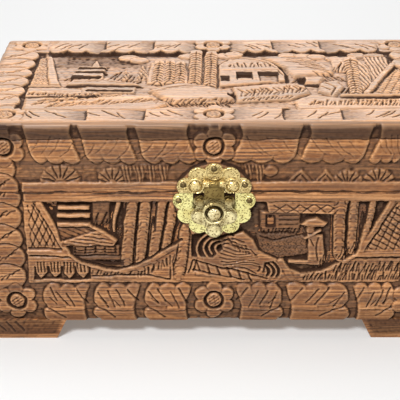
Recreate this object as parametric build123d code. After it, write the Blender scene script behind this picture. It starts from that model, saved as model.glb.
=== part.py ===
from build123d import *
import math
import os

# A carved wooden jewelry box: hinged lid, brass hasp, lift-out tray.
# Millimetres, +Z up, X across the box, the front looks along -Y.
# The origin is on the floor, under the middle of the box.

# Boards of the case and the lid
CASE_WIDTH = 314.0
CASE_DEPTH = 160.0
BOARD = 11.0
CASE_WALL_HEIGHT = 93.0
LID_WALL_HEIGHT = 37.6
BASE_THICK = 7.5
TOP_THICK = 12.0
SEAM_GAP = 0.4
REBATE = 6.0
TOP_ROUND = 5.0

# Bracket feet, two mitred wings at each corner
FOOT_HEIGHT = 15.0
FOOT_LENGTH = 53.5
FOOT_RAKE = 7.2
FOOT_THICK = 10.0

# Sunk panels with scalloped borders, and the ringed rosettes on the borders
PANEL_DEPTH = 4.0
END_BORDER = 29.5
SIDE_BORDER = 25.0
BASE_BORDER = 32.0
LID_BORDER = 30.0
TOP_BORDER = 26.0
BAND = 7.3
LOBE_PITCH = 15.0
LOBE_RISE = 3.5
LOBE_OVERLAP = 2.0
ROSETTE_RADIUS = 7.8
ROSETTE_GROOVE = 2.0
ROSETTE_DEPTH = 2.0
ROSETTE_INSET = 20.0
SIDE_ROSETTE_INSET = 13.5
TOP_ROSETTE_FRONT = 17.0
TOP_ROSETTE_BACK = 12.5
BASE_ROSETTE_RISE = 16.0
LID_ROSETTE_DROP = 17.5

# Levels of the two pictures, measured down from the face of the board
TOP_DROP = 0.8
TOP_GROUND = 2.6
TRENCH_WIDTH = 7.0
FRONT_DROP = 1.2
MIDDLE_DEPTH = 2.4
GARDEN_DEPTH = 4.2

# Main forms of the lid picture, by their corners on the top board, left to right
LID_FORMS = {
    "tower": ((-127, 42), (-118.5, 43.5), (-106.5, -11.5), (-127.5, -12.5)),
    "shrub bank": ((-128, -16), (-104, -15.5), (-79, -22), (-79, -29), (-128, -31)),
    "near ground": ((-128, -34), (-81, -31.5), (-68, -24), (-44, -30), (-28, -43), (-40, -56), (-128, -56)),
    "pagoda": ((-97, 23), (-76.5, 23), (-77, -4), (-99, -6)),
    "hipped roof": ((-103, -13), (-98.5, -3), (-77, 2), (-49, -13.5), (-54, -25), (-90, -25), (-92, -15)),
    "trees": ((-45, 33), (-20, 33), (-18.5, 53), (3, 53), (2, -14), (-18, -9), (-47, -8)),
    "hill": ((-50, -22), (-34, -12), (-24.5, -7.5), (-6, -11), (6, -20), (14, -29), (13, -38), (-6, -42), (-34, -46)),
    "gatehouse": ((0, 28), (12, 39.5), (21.5, 43), (31.5, 40), (41, 34), (47.5, 23), (51.5, 9), (51, -4), (0, -14)),
    "fence": ((12, -16), (42.5, -10), (62.5, -12.5), (66, -27), (52.5, -38), (12, -42)),
    "far hill": ((38, 42), (45.5, 44), (70.5, 41), (88, 17), (84, 8), (56, 3), (48, 12)),
    "boulder": ((61.5, 5), (76, 8), (78, -0.5), (72, -11.5), (62.5, -8.5)),
    "rocks": ((71, -9), (87, -3.5), (91, -17), (82, -35), (71, -24)),
    "lattice": ((92.5, -27), (96, 38), (104.5, 38), (110, 44), (127, 44), (134, 16), (127.5, -27.5)),
    "near slope": ((54, -36), (64, -25), (90, -36), (128, -36), (128, -56), (54, -56)),
}

# The two gardens of the front panel and the forms in them, above the foot of the base board
GARDENS = {
    "left": (
        (-115, 97), (-99, 52.5), (-91.5, 47), (-83, 43), (-74.5, 40.5), (-63.5, 39.5),
        (-52.5, 42.5), (-41, 49), (-31, 56), (-22, 61.5), (-18, 97),
    ),
    "right": ((12, 97), (4, 62), (28, 53), (44, 41), (60, 36), (74, 38), (86, 44.8), (97, 51.8), (118, 97)),
}
GARDEN_FORMS = {
    "upper eave": ((-106, 86.7), (-83, 86.7), (-83, 90), (-106, 90)),
    "middle eave": ((-106, 80.7), (-83, 80.7), (-83, 84), (-106, 84)),
    "lower eave": ((-110, 73.5), (-83, 73.5), (-83, 77.5), (-110, 77.5)),
    "pavilion roof": ((-106, 62.5), (-79, 71), (-66, 62.5), (-67, 58), (-106, 58)),
    "left trunks": ((-58.4, 97), (-41.4, 97), (-47, 36), (-65, 36)),
    "middle trunks": ((-38.7, 97), (-22.8, 97), (-31, 50), (-46.5, 43)),
    "mound": ((-13, 30), (-12, 49), (-6, 59), (6, 66), (19.5, 69.5), (27, 63), (31, 55), (43, 49), (50, 30)),
    "gate roof": ((34, 97), (86, 97), (85, 83), (37, 84.5)),
    "robe": ((63, 69), (73.5, 68), (76, 46), (64, 46)),
    "right trunks": ((80, 97), (96.7, 97), (95.5, 36), (80.8, 36)),
    "last trunk": ((103.6, 97), (108.6, 97), (102, 56), (97, 56)),
}
MIDDLE_FORMS = {
    "thatch": ((-112, 75), (-80, 75), (-78, 69), (-110, 60)),
    "terrace": ((-108, 60), (-62, 60), (-58, 34), (-108, 34)),
    "reeds": ((-80.5, 66), (-69.5, 66), (-69.5, 97), (-80.5, 97)),
    "gate wall": ((30.5, 63), (57.5, 63), (57.5, 86), (30.5, 86)),
    "bank": ((18, 65), (46, 69), (68, 66), (68, 52), (46, 45), (30, 49)),
}

# Nails that hold the base board to the walls
NAIL_HEAD_RADIUS = 1.6
NAIL_HEAD_THICK = 0.8
NAIL_RADIUS = 0.7
NAIL_LENGTH = 20.0
NAIL_POINT = 1.5
NAIL_FIT = 0.02
NAIL_SPACING = 80.0
NAIL_SIDE_OFFSET = 20.0

# Butt hinges on the back face
HINGE_SPACING = 170.0
HINGE_LENGTH = 30.0
LEAF_HEIGHT = 14.0
LEAF_THICK = 1.2
BARREL_RADIUS = 2.2
BARREL_CLEAR = 0.3
KNUCKLE_GAP = 0.2
PIN_RADIUS = 1.0
PIN_FIT = 0.05
LID_OPEN = 100.0
STOP_REACH = 5.4
STOP_THICK = 1.4
STOP_CLEAR = 0.15

# Countersunk screws of the hinges
SCREW_HEAD_RADIUS = 2.4
SCREW_RADIUS = 1.2
SCREW_LENGTH = 9.0
SCREW_POINT = 2.0
SCREW_SLOT_WIDTH = 0.6
SCREW_SLOT_DEPTH = 0.4
SCREW_FIT = 0.03
SCREW_SPACING = 18.0
SCREW_REACH = 9.0

# Round lobed hasp plate, split at the seam between lid and case
HASP_DROP = 5.5
HASP_LOBES = 12
HASP_LOBE_RING = 20.8
HASP_LOBE_RADIUS = 6.5
HASP_SEAT_RADIUS = 28.5
PLATE_THICK = 1.0
TACK_RING = 23.4
NOTCH_RADIUS = 14.0
NOTCH_DROP = 2.0

# Knuckles and tongue of the hasp
HASP_AXIS_RISE = 8.0
HASP_BARREL_RADIUS = 2.3
HASP_BARREL_SINK = 0.2
HASP_BARREL_LENGTH = 13.8
TONGUE_KNUCKLE = 6.6
HASP_PIN_RADIUS = 0.9
TONGUE_THICK = 1.2
TONGUE_STANDOFF = 0.4
NECK_WIDTH = 13.0
TONGUE_DROP = 21.0
TONGUE_RADIUS = 12.5
TONGUE_HOLE_RADIUS = 6.2
EAR_RADIUS = 4.0
EAR_OUT = 9.5
EAR_UP = 8.0
CHEEK_RADIUS = 6.5
CHEEK_OUT = 9.0
CHEEK_DOWN = 3.0
TIP_RADIUS = 5.5
TIP_DOWN = 13.5

# Post that stands through the tongue, drilled across for a small padlock
POST_RADIUS = 4.2
POST_PROUD = 8.0
POST_DOME = 1.4
POST_FLANGE_RADIUS = 5.6
POST_FLANGE_THICK = 0.5
POST_TENON_RADIUS = 2.2
POST_TENON_LENGTH = 8.0
POST_FIT = 0.03
PADLOCK_RADIUS = 1.3
PADLOCK_SETBACK = 2.8

# Domed nails and the two large studs of the hasp
DOME_RADIUS = 1.9
DOME_HEIGHT = 1.0
TACK_RADIUS = 0.7
TACK_LENGTH = 8.0
STUD_RADIUS = 4.2
STUD_HEIGHT = 2.0
STUD_OUT = 12.2
STUD_BELOW_AXIS = 3.0

# Lift-out tray, the runners that carry it, and the felt
TRAY_HEIGHT = 30.0
TRAY_WALL = 5.0
TRAY_BOTTOM = 3.0
TRAY_SIDE_GAP = 0.8
TRAY_BELOW_RIM = 4.0
DIVIDER_THICK = 4.0
DIVIDER_LET_IN = 1.5
DIVIDER_BELOW = 4.0
DIVIDER_FIT = 0.1
DIVIDER_OFFSET = 65.0
RUNNER_WIDTH = 8.0
RUNNER_HEIGHT = 8.0
FELT_THICK = 1.5
FELT_GAP = 0.5

# Levels and faces that follow from the sizes above
HALF_WIDTH = CASE_WIDTH / 2
FRONT_Y = -CASE_DEPTH / 2
BACK_Y = CASE_DEPTH / 2
BASE_Z = FOOT_HEIGHT
CASE_Z = BASE_Z + BASE_THICK
SEAM_Z = CASE_Z + CASE_WALL_HEIGHT
LID_Z = SEAM_Z + SEAM_GAP
TOP_Z = LID_Z + LID_WALL_HEIGHT
SUMMIT_Z = TOP_Z + TOP_THICK
CHEEK = BOARD - REBATE
HINGE_Y = BACK_Y + BARREL_RADIUS + BARREL_CLEAR
HINGE_Z = SEAM_Z + SEAM_GAP / 2
HASP_Z = SEAM_Z - HASP_DROP
HASP_AXIS_Z = SEAM_Z + HASP_AXIS_RISE
HASP_AXIS_OUT = PLATE_THICK + HASP_BARREL_RADIUS - HASP_BARREL_SINK
HASP_AXIS_Y = FRONT_Y - HASP_AXIS_OUT
POST_Z = HASP_AXIS_Z - TONGUE_DROP
TRAY_TOP_Z = SEAM_Z - TRAY_BELOW_RIM
TRAY_Z = TRAY_TOP_Z - TRAY_HEIGHT
TRAY_HALF_WIDTH = HALF_WIDTH - BOARD - TRAY_SIDE_GAP
TRAY_HALF_DEPTH = CASE_DEPTH / 2 - BOARD - TRAY_SIDE_GAP


def block(x, y, z):
    """A box between the low and the high value of each axis."""
    size = [high - low for low, high in (x, y, z)]
    centre = [(high + low) / 2 for low, high in (x, y, z)]
    return Pos(*centre) * Box(*size)


def rod(radius, span, y, z):
    """A round bar along X over the span, centred on y and z."""
    low, high = span
    return Pos((low + high) / 2, y, z) * Rot(0, 90, 0) * Cylinder(radius, high - low)


def face_on(point, normal, right):
    """A drawing plane on one face of the box, its y axis upwards on the walls."""
    return Plane(origin=point, x_dir=right, z_dir=normal)


def front_face(x=0.0, z=0.0, proud=0.0):
    return face_on((x, FRONT_Y - proud, z), (0, -1, 0), (1, 0, 0))


def back_face(x=0.0, z=0.0, proud=0.0):
    return face_on((x, BACK_Y + proud, z), (0, 1, 0), (-1, 0, 0))


def side_face(side, z=0.0):
    return face_on((side * HALF_WIDTH, 0, z), (side, 0, 0), (0, side, 0))


def under_face(x, y):
    return face_on((x, y, BASE_Z), (0, 0, -1), (1, 0, 0))


def placed(plane, solid):
    """A solid drawn about local Z, set on a face with Z out of that face."""
    return plane.location * solid


def turned(*edges):
    """A solid of revolution about Z from its half outline, drawn from the top down."""
    return revolve(make_face(list(edges)), axis=Axis.Z)


def dome_arc(radius, base, height):
    """The half outline of a spherical cap, from its top down to its rim."""
    sphere = (radius ** 2 + height ** 2) / (2 * height)
    half_way = math.asin(radius / sphere) / 2
    middle = (sphere * math.sin(half_way), 0, base + height - sphere * (1 - math.cos(half_way)))
    return ThreePointArc((0, 0, base + height), middle, (radius, 0, base))


def steps(*points):
    """Straight runs of a half outline through (radius, height) points."""
    corners = [(radius, 0, height) for radius, height in points]
    return [Line(start, end) for start, end in zip(corners, corners[1:])]


def lathe(*points):
    """A solid of revolution about Z from straight runs of (radius, height)."""
    corners = [(radius, 0, height) for radius, height in points]
    return revolve(make_face(Polyline(*corners, close=True)), axis=Axis.Z)


def group(solids):
    """Separate pieces of one kind, kept as one named node."""
    return Compound(children=list(solids))


# Carved panels

def scallops(run):
    """Places along a run, and the radius of the lobes that edge it."""
    count = max(1, round(run / LOBE_PITCH))
    pitch = run / count
    half_chord = (pitch + LOBE_OVERLAP) / 2
    radius = (LOBE_RISE ** 2 + half_chord ** 2) / (2 * LOBE_RISE)
    places = [(i + 0.5) * pitch - run / 2 for i in range(count)]
    return places, radius


def panel(width, low, high, lobed):
    """The outline of a sunk panel whose named sides are edged by petal lobes."""
    height = high - low
    middle = (high + low) / 2
    outline = Pos(0, middle) * Rectangle(width, height)
    for side in lobed:
        sign = 1 if side in ("right", "top") else -1
        across = side in ("top", "bottom")
        places, radius = scallops(width if across else height)
        for place in places:
            off = radius - LOBE_RISE
            if across:
                centre = (place, middle + sign * (height / 2 + off))
            else:
                centre = (sign * (width / 2 + off), middle + place)
            outline -= Pos(*centre) * Circle(radius)
    return outline


def sink(board, plane, outline, depth):
    """Cuts an outline into a board, from a face down."""
    return board - extrude(plane * outline, amount=-depth)


def drawn(forms, across, along, foot=0.0):
    """The outlines of a group of forms, stretched to the board that carries them."""
    outlines = Sketch()
    for corners in forms.values():
        outlines += Polygon(*[(x * across, foot + y * along) for x, y in corners], align=None)
    return outlines


def on_front(forms):
    return drawn(forms, CASE_WIDTH / 314, (SEAM_Z - BASE_Z) / 100.5, BASE_Z)


def carved(board, plane, outline, drop, levels, near):
    """Sinks a panel a little, then each level of its picture around the near forms."""
    board = sink(board, plane, outline, drop)
    for level, depth in levels:
        board = sink(board, plane, (outline & level) - near, depth)
    return board


def rosette_rings(places):
    """The ring grooves around the rosettes at the given places of a face."""
    ring = Circle(ROSETTE_RADIUS) - Circle(ROSETTE_RADIUS - ROSETTE_GROOVE)
    return [Pos(*place) * ring for place in places]


def with_rosettes(board, plane, places):
    for ring in rosette_rings(places):
        board = sink(board, plane, ring, ROSETTE_DEPTH)
    return board


def case_panel(span, border):
    return panel(span - 2 * border, BASE_Z + BASE_BORDER, SEAM_Z - BAND, ("left", "right", "bottom"))


def lid_panel(span, border):
    return panel(span - 2 * border, LID_Z + BAND, SUMMIT_Z - LID_BORDER, ("top",))


def hasp_seat():
    """The plain land that is left in the panels behind the hasp."""
    return Pos(0, HASP_Z) * Circle(HASP_SEAT_RADIUS)


def row_places(span, level, inset):
    """A rosette at each end of a face and one in its middle."""
    end = span / 2 - inset
    return [(-end, level), (0, level), (end, level)]


BASE_ROSETTE_Z = BASE_Z + BASE_ROSETTE_RISE
LID_ROSETTE_Z = SUMMIT_Z - LID_ROSETTE_DROP


# Fasteners, drawn about local Z with the face they sit on at zero

def flush_nail(grow=0.0):
    head = NAIL_HEAD_RADIUS + grow
    shank = NAIL_RADIUS + grow
    return lathe(
        (0, 0), (head, 0), (head, -NAIL_HEAD_THICK), (shank, -NAIL_HEAD_THICK),
        (shank, NAIL_POINT - NAIL_LENGTH), (0, -NAIL_LENGTH - grow),
    )


def countersunk_screw(grow=0.0):
    head = SCREW_HEAD_RADIUS + grow
    shank = SCREW_RADIUS + grow
    return lathe(
        (0, 0), (head, 0), (shank, -LEAF_THICK), (shank, SCREW_POINT - SCREW_LENGTH),
        (0, -SCREW_LENGTH - grow),
    )


def slotted_screw():
    slot = Box(2 * SCREW_HEAD_RADIUS, SCREW_SLOT_WIDTH, 2 * SCREW_SLOT_DEPTH)
    return countersunk_screw() - slot


def domed(radius, height, shank, length):
    """A nail with a low domed head that sits on the face."""
    outline = steps((radius, 0), (shank, 0), (shank, NAIL_POINT - length), (0, -length), (0, height))
    return turned(dome_arc(radius, 0, height), *outline)


def tack_hole(radius, length):
    return lathe((0, 0), (radius, 0), (radius, NAIL_POINT - length), (0, -length))


# Case

def long_board(y_out, inward, low, high):
    """A front or back wall, rebated at both ends for the side walls."""
    y = sorted((y_out, y_out + inward * BOARD))
    rebate_y = sorted((y_out + inward * CHEEK, y_out + inward * BOARD))
    board = block((-HALF_WIDTH, HALF_WIDTH), y, (low, high))
    for side in (-1, 1):
        x = sorted((side * HALF_WIDTH, side * (HALF_WIDTH - BOARD)))
        board -= block(x, rebate_y, (low, high))
    return board


def side_board(side, low, high):
    x = sorted((side * HALF_WIDTH, side * (HALF_WIDTH - BOARD)))
    return block(x, (FRONT_Y + CHEEK, BACK_Y - CHEEK), (low, high))


def base_nail_places():
    """Planes under the base board, one for each nail."""
    half = BOARD / 2
    rows = [(x, y) for y in (FRONT_Y + half, BACK_Y - half) for x in (-NAIL_SPACING, 0, NAIL_SPACING)]
    ends = [(side * (HALF_WIDTH - half), y) for side in (-1, 1) for y in (-NAIL_SIDE_OFFSET, NAIL_SIDE_OFFSET)]
    return [under_face(x, y) for x, y in rows + ends]


def drilled(board, cutters):
    for cutter in cutters:
        board -= cutter
    return board


def foot_wing():
    """One wing of a foot, lying along X from its mitred corner."""
    plan = Polyline((0, 0), (FOOT_LENGTH, 0), (FOOT_LENGTH, FOOT_THICK), (FOOT_THICK, FOOT_THICK), close=True)
    rake = Polyline((0, BASE_Z), (FOOT_LENGTH, BASE_Z), (FOOT_LENGTH - FOOT_RAKE, 0), (0, 0), close=True)
    mitred = extrude(make_face(plan), amount=BASE_Z)
    return mitred & extrude(Plane.XZ * make_face(rake), amount=-FOOT_THICK)


def feet():
    """Eight wings: each corner has one along the front or back and one along the side."""
    along = Pos(-HALF_WIDTH, FRONT_Y, 0) * foot_wing()
    diagonal = Plane(origin=(-HALF_WIDTH, FRONT_Y, 0), z_dir=(1, -1, 0))
    across = mirror(along, about=diagonal)
    wings = {}
    for row, y_flip in (("front", False), ("back", True)):
        for end, x_flip in (("left", False), ("right", True)):
            for name, piece in (("face", along), ("return", across)):
                if y_flip:
                    piece = mirror(piece, about=Plane.XZ)
                if x_flip:
                    piece = mirror(piece, about=Plane.YZ)
                wings[f"foot_{row}_{end}_{name}"] = piece
    return wings


# Hinges

def hinge_spans(x, owner):
    """The stretches of barrel that belong to the case leaf or to the lid leaf."""
    inner = HINGE_LENGTH / 6
    outer = HINGE_LENGTH / 2
    if owner == "lid":
        return [(x - inner + KNUCKLE_GAP, x + inner - KNUCKLE_GAP)]
    return [(x - outer, x - inner), (x + inner, x + outer)]


def hinge_screws(x, direction):
    level = HINGE_Z + direction * SCREW_REACH
    return [back_face(x + shift, level, LEAF_THICK) for shift in (-SCREW_SPACING / 2, SCREW_SPACING / 2)]


def hinge_leaf(x, owner):
    direction = 1 if owner == "lid" else -1
    other = "case" if owner == "lid" else "lid"
    z = sorted((HINGE_Z, HINGE_Z + direction * LEAF_HEIGHT))
    leaf = block((x - HINGE_LENGTH / 2, x + HINGE_LENGTH / 2), (BACK_Y, BACK_Y + LEAF_THICK), z)
    for low, high in hinge_spans(x, other):
        leaf -= rod(BARREL_RADIUS + BARREL_CLEAR, (low - KNUCKLE_GAP, high + KNUCKLE_GAP), HINGE_Y, HINGE_Z)
    for span in hinge_spans(x, owner):
        leaf += rod(BARREL_RADIUS, span, HINGE_Y, HINGE_Z)
    if owner == "lid":
        leaf += hinge_stop(x)
    leaf -= rod(PIN_RADIUS + PIN_FIT, (x - HINGE_LENGTH, x + HINGE_LENGTH), HINGE_Y, HINGE_Z)
    return drilled(leaf, [placed(plane, countersunk_screw(SCREW_FIT)) for plane in hinge_screws(x, direction)])


def hinge_stop(x):
    """The heel that lands on the case leaf when the lid is fully open."""
    near = BACK_Y + LEAF_THICK + STOP_CLEAR
    low, high = hinge_spans(x, "lid")[0]
    heel = block((low, high), (near, near + STOP_THICK), (HINGE_Z - STOP_REACH, HINGE_Z))
    return heel.rotate(Axis((0, HINGE_Y, HINGE_Z), (1, 0, 0)), LID_OPEN)


def hinge_pin(x):
    return rod(PIN_RADIUS, (x - HINGE_LENGTH / 2, x + HINGE_LENGTH / 2), HINGE_Y, HINGE_Z)


# Hasp

def lobed_disc():
    """The whole round plate, as seen from the front, about its centre."""
    disc = Circle(HASP_LOBE_RING)
    for i in range(HASP_LOBES):
        angle = math.radians(360 * i / HASP_LOBES)
        spot = (HASP_LOBE_RING * math.cos(angle), HASP_LOBE_RING * math.sin(angle))
        disc += Pos(*spot) * Circle(HASP_LOBE_RADIUS)
    return disc


def tack_place(lobe):
    """Where the nail of one lobe sits; lobe 0 points right, the rest follow anticlockwise."""
    angle = math.radians(360 * lobe / HASP_LOBES)
    return TACK_RING * math.cos(angle), HASP_Z + TACK_RING * math.sin(angle)


def plate_half(low, high):
    """The part of the plate between two levels."""
    disc = placed(front_face(0, HASP_Z), extrude(lobed_disc(), amount=PLATE_THICK))
    reach = HASP_LOBE_RING + HASP_LOBE_RADIUS
    return disc & block((-reach, reach), (FRONT_Y - PLATE_THICK, FRONT_Y), (low, high))


LID_TACKS = [front_face(*tack_place(lobe), PLATE_THICK) for lobe in (1, 3, 5)]
CASE_TACKS = [front_face(*tack_place(lobe), PLATE_THICK) for lobe in (0, 6)]
STUDS = [front_face(side * STUD_OUT, HASP_AXIS_Z - STUD_BELOW_AXIS, PLATE_THICK) for side in (-1, 1)]
POST_PLANE = front_face(0, POST_Z, PLATE_THICK)


def tack_cutters(planes):
    return [placed(plane, tack_hole(TACK_RADIUS + NAIL_FIT, TACK_LENGTH + NAIL_FIT)) for plane in planes]


def barrel_spans(owner):
    inner = TONGUE_KNUCKLE / 2
    outer = HASP_BARREL_LENGTH / 2
    if owner == "tongue":
        return [(-inner, inner)]
    return [(-outer, -inner - KNUCKLE_GAP), (inner + KNUCKLE_GAP, outer)]


def hasp_pin_hole():
    return rod(HASP_PIN_RADIUS + PIN_FIT, (-HASP_BARREL_LENGTH, HASP_BARREL_LENGTH), HASP_AXIS_Y, HASP_AXIS_Z)


def hasp_lid_plate():
    reach = HASP_LOBE_RING + HASP_LOBE_RADIUS
    plate = plate_half(SEAM_Z + SEAM_GAP, HASP_Z + reach)
    for low, high in barrel_spans("tongue"):
        clear = HASP_BARREL_RADIUS + BARREL_CLEAR
        plate -= rod(clear, (low - KNUCKLE_GAP, high + KNUCKLE_GAP), HASP_AXIS_Y, HASP_AXIS_Z)
    for span in barrel_spans("plate"):
        plate += rod(HASP_BARREL_RADIUS, span, HASP_AXIS_Y, HASP_AXIS_Z)
    return drilled(plate - hasp_pin_hole(), tack_cutters(LID_TACKS + STUDS))


def hasp_case_plate():
    reach = HASP_LOBE_RING + HASP_LOBE_RADIUS
    plate = plate_half(HASP_Z - reach, SEAM_Z)
    notch = Pos(0, SEAM_Z - NOTCH_DROP) * Circle(NOTCH_RADIUS)
    keep = Pos(0, POST_Z) * Circle(TONGUE_RADIUS)
    plate -= extrude(front_face() * (notch - keep), amount=PLATE_THICK)
    plate -= placed(POST_PLANE, lathe(
        (0, 0), (POST_TENON_RADIUS + POST_FIT, 0), (POST_TENON_RADIUS + POST_FIT, -PLATE_THICK), (0, -PLATE_THICK)
    ))
    return drilled(plate, tack_cutters(CASE_TACKS))


def hasp_tongue():
    """Neck, lobed disc and finger tip, hung from the middle knuckle."""
    neck_height = HASP_AXIS_Z - POST_Z
    outline = Pos(0, neck_height / 2) * Rectangle(NECK_WIDTH, neck_height)
    outline += Circle(TONGUE_RADIUS)
    for side in (-1, 1):
        outline += Pos(side * EAR_OUT, EAR_UP) * Circle(EAR_RADIUS)
        outline += Pos(side * CHEEK_OUT, -CHEEK_DOWN) * Circle(CHEEK_RADIUS)
    outline += Pos(0, -TIP_DOWN) * Circle(TIP_RADIUS)
    outline -= Circle(TONGUE_HOLE_RADIUS)
    tongue = placed(front_face(0, POST_Z, PLATE_THICK + TONGUE_STANDOFF), extrude(outline, amount=TONGUE_THICK))
    for low, high in barrel_spans("plate"):
        clear = HASP_BARREL_RADIUS + BARREL_CLEAR
        tongue -= rod(clear, (low - KNUCKLE_GAP, high + KNUCKLE_GAP), HASP_AXIS_Y, HASP_AXIS_Z)
    for span in barrel_spans("tongue"):
        tongue += rod(HASP_BARREL_RADIUS, span, HASP_AXIS_Y, HASP_AXIS_Z)
    return tongue - hasp_pin_hole()


def hasp_pin():
    half = HASP_BARREL_LENGTH / 2
    return rod(HASP_PIN_RADIUS, (-half, half), HASP_AXIS_Y, HASP_AXIS_Z)


def hasp_post():
    """Flange on the plate, round post with a domed end, tenon into the wood."""
    end = POST_PROUD - PLATE_THICK
    shoulder = end - POST_DOME
    inner = -(PLATE_THICK + POST_TENON_LENGTH)
    outline = steps(
        (POST_RADIUS, shoulder), (POST_RADIUS, POST_FLANGE_THICK), (POST_FLANGE_RADIUS, POST_FLANGE_THICK),
        (POST_FLANGE_RADIUS, 0), (POST_TENON_RADIUS, 0), (POST_TENON_RADIUS, inner), (0, inner), (0, end),
    )
    post = turned(dome_arc(POST_RADIUS, shoulder, POST_DOME), *outline)
    drill_y = FRONT_Y - POST_PROUD + PADLOCK_SETBACK
    return placed(POST_PLANE, post) - rod(PADLOCK_RADIUS, (-POST_FLANGE_RADIUS, POST_FLANGE_RADIUS), drill_y, POST_Z)


def post_socket():
    radius = POST_TENON_RADIUS + POST_FIT
    depth = PLATE_THICK + POST_TENON_LENGTH + POST_FIT
    return placed(POST_PLANE, lathe((0, 0), (radius, 0), (radius, -depth), (0, -depth)))


# Tray

def tray_parts():
    w, d = TRAY_HALF_WIDTH, TRAY_HALF_DEPTH
    floor = TRAY_Z + TRAY_BOTTOM
    divider_top = TRAY_TOP_Z - DIVIDER_BELOW
    parts = {"tray_bottom": block((-w, w), (-d, d), (TRAY_Z, floor))}
    for name, side in (("tray_front", -1), ("tray_back", 1)):
        y = sorted((side * d, side * (d - TRAY_WALL)))
        wall = block((-w, w), y, (floor, TRAY_TOP_Z))
        groove_y = sorted((side * (d - TRAY_WALL), side * (d - TRAY_WALL + DIVIDER_LET_IN)))
        for shift in (-DIVIDER_OFFSET, DIVIDER_OFFSET):
            half = DIVIDER_THICK / 2 + DIVIDER_FIT
            wall -= block((shift - half, shift + half), groove_y, (floor, TRAY_TOP_Z))
        parts[name] = wall
    for name, side in (("tray_left", -1), ("tray_right", 1)):
        x = sorted((side * w, side * (w - TRAY_WALL)))
        parts[name] = block(x, (TRAY_WALL - d, d - TRAY_WALL), (floor, TRAY_TOP_Z))
    reach = d - TRAY_WALL + DIVIDER_LET_IN - DIVIDER_FIT
    for name, shift in (("tray_divider_left", -DIVIDER_OFFSET), ("tray_divider_right", DIVIDER_OFFSET)):
        x = (shift - DIVIDER_THICK / 2, shift + DIVIDER_THICK / 2)
        parts[name] = block(x, (-reach, reach), (floor, divider_top))
    parts["tray_felt"] = group(block(x, y, (floor, floor + FELT_THICK)) for x, y in tray_cells())
    return parts


def tray_cells():
    """The floor of each compartment, less the gap around its felt."""
    half = DIVIDER_THICK / 2
    end = TRAY_HALF_WIDTH - TRAY_WALL
    depth = TRAY_HALF_DEPTH - TRAY_WALL - FELT_GAP
    edges = [
        (-end, -DIVIDER_OFFSET - half), (half - DIVIDER_OFFSET, DIVIDER_OFFSET - half), (DIVIDER_OFFSET + half, end)
    ]
    return [((low + FELT_GAP, high - FELT_GAP), (-depth, depth)) for low, high in edges]


def runner(side):
    inner = HALF_WIDTH - BOARD
    x = sorted((side * inner, side * (inner - RUNNER_WIDTH)))
    reach = CASE_DEPTH / 2 - BOARD
    return block(x, (-reach, reach), (TRAY_Z - RUNNER_HEIGHT, TRAY_Z))


# Everything together

parts = {}
hinge_xs = {"left": -HINGE_SPACING / 2, "right": HINGE_SPACING / 2}
nail_planes = base_nail_places()
nail_holes = [placed(plane, flush_nail(NAIL_FIT)) for plane in nail_planes]
case_screw_planes = [plane for x in hinge_xs.values() for plane in hinge_screws(x, -1)]
lid_screw_planes = [plane for x in hinge_xs.values() for plane in hinge_screws(x, 1)]
case_screw_holes = [placed(plane, countersunk_screw(SCREW_FIT)) for plane in case_screw_planes]
lid_screw_holes = [placed(plane, countersunk_screw(SCREW_FIT)) for plane in lid_screw_planes]

# Walls of the case: carved front and ends, plain back
front_row = row_places(CASE_WIDTH, BASE_ROSETTE_Z, ROSETTE_INSET)
side_row = row_places(CASE_DEPTH, BASE_ROSETTE_Z, SIDE_ROSETTE_INSET)
front = long_board(FRONT_Y, 1, CASE_Z, SEAM_Z)
front_panel = case_panel(CASE_WIDTH, END_BORDER) - hasp_seat()
gardens = on_front(GARDENS)
middle_forms = on_front(MIDDLE_FORMS)
garden_levels = [(gardens - middle_forms, GARDEN_DEPTH), (gardens & middle_forms, MIDDLE_DEPTH)]
front = carved(front, front_face(), front_panel, FRONT_DROP, garden_levels, on_front(GARDEN_FORMS))
front = with_rosettes(front, front_face(), front_row)
parts["case_front"] = drilled(front, nail_holes + tack_cutters(CASE_TACKS) + [post_socket()])
parts["case_back"] = drilled(long_board(BACK_Y, -1, CASE_Z, SEAM_Z), nail_holes + case_screw_holes)
for name, side in (("left", -1), ("right", 1)):
    board = side_board(side, CASE_Z, SEAM_Z)
    board = sink(board, side_face(side), case_panel(CASE_DEPTH, SIDE_BORDER), PANEL_DEPTH)
    board = with_rosettes(board, side_face(side), side_row)
    parts[f"case_{name}"] = drilled(board, nail_holes)

# Base board, its nails, the feet and the felt on the floor
base = block((-HALF_WIDTH, HALF_WIDTH), (FRONT_Y, BACK_Y), (BASE_Z, CASE_Z))
base = with_rosettes(base, front_face(), front_row)
for side in (-1, 1):
    base = with_rosettes(base, side_face(side), side_row)
parts["base_board"] = drilled(base, nail_holes)
parts["base_nails"] = group(placed(plane, flush_nail()) for plane in nail_planes)
parts.update(feet())
inside_x = HALF_WIDTH - BOARD - FELT_GAP
inside_y = CASE_DEPTH / 2 - BOARD - FELT_GAP
parts["floor_felt"] = block((-inside_x, inside_x), (-inside_y, inside_y), (CASE_Z, CASE_Z + FELT_THICK))
parts["tray_runner_left"] = runner(-1)
parts["tray_runner_right"] = runner(1)

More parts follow.
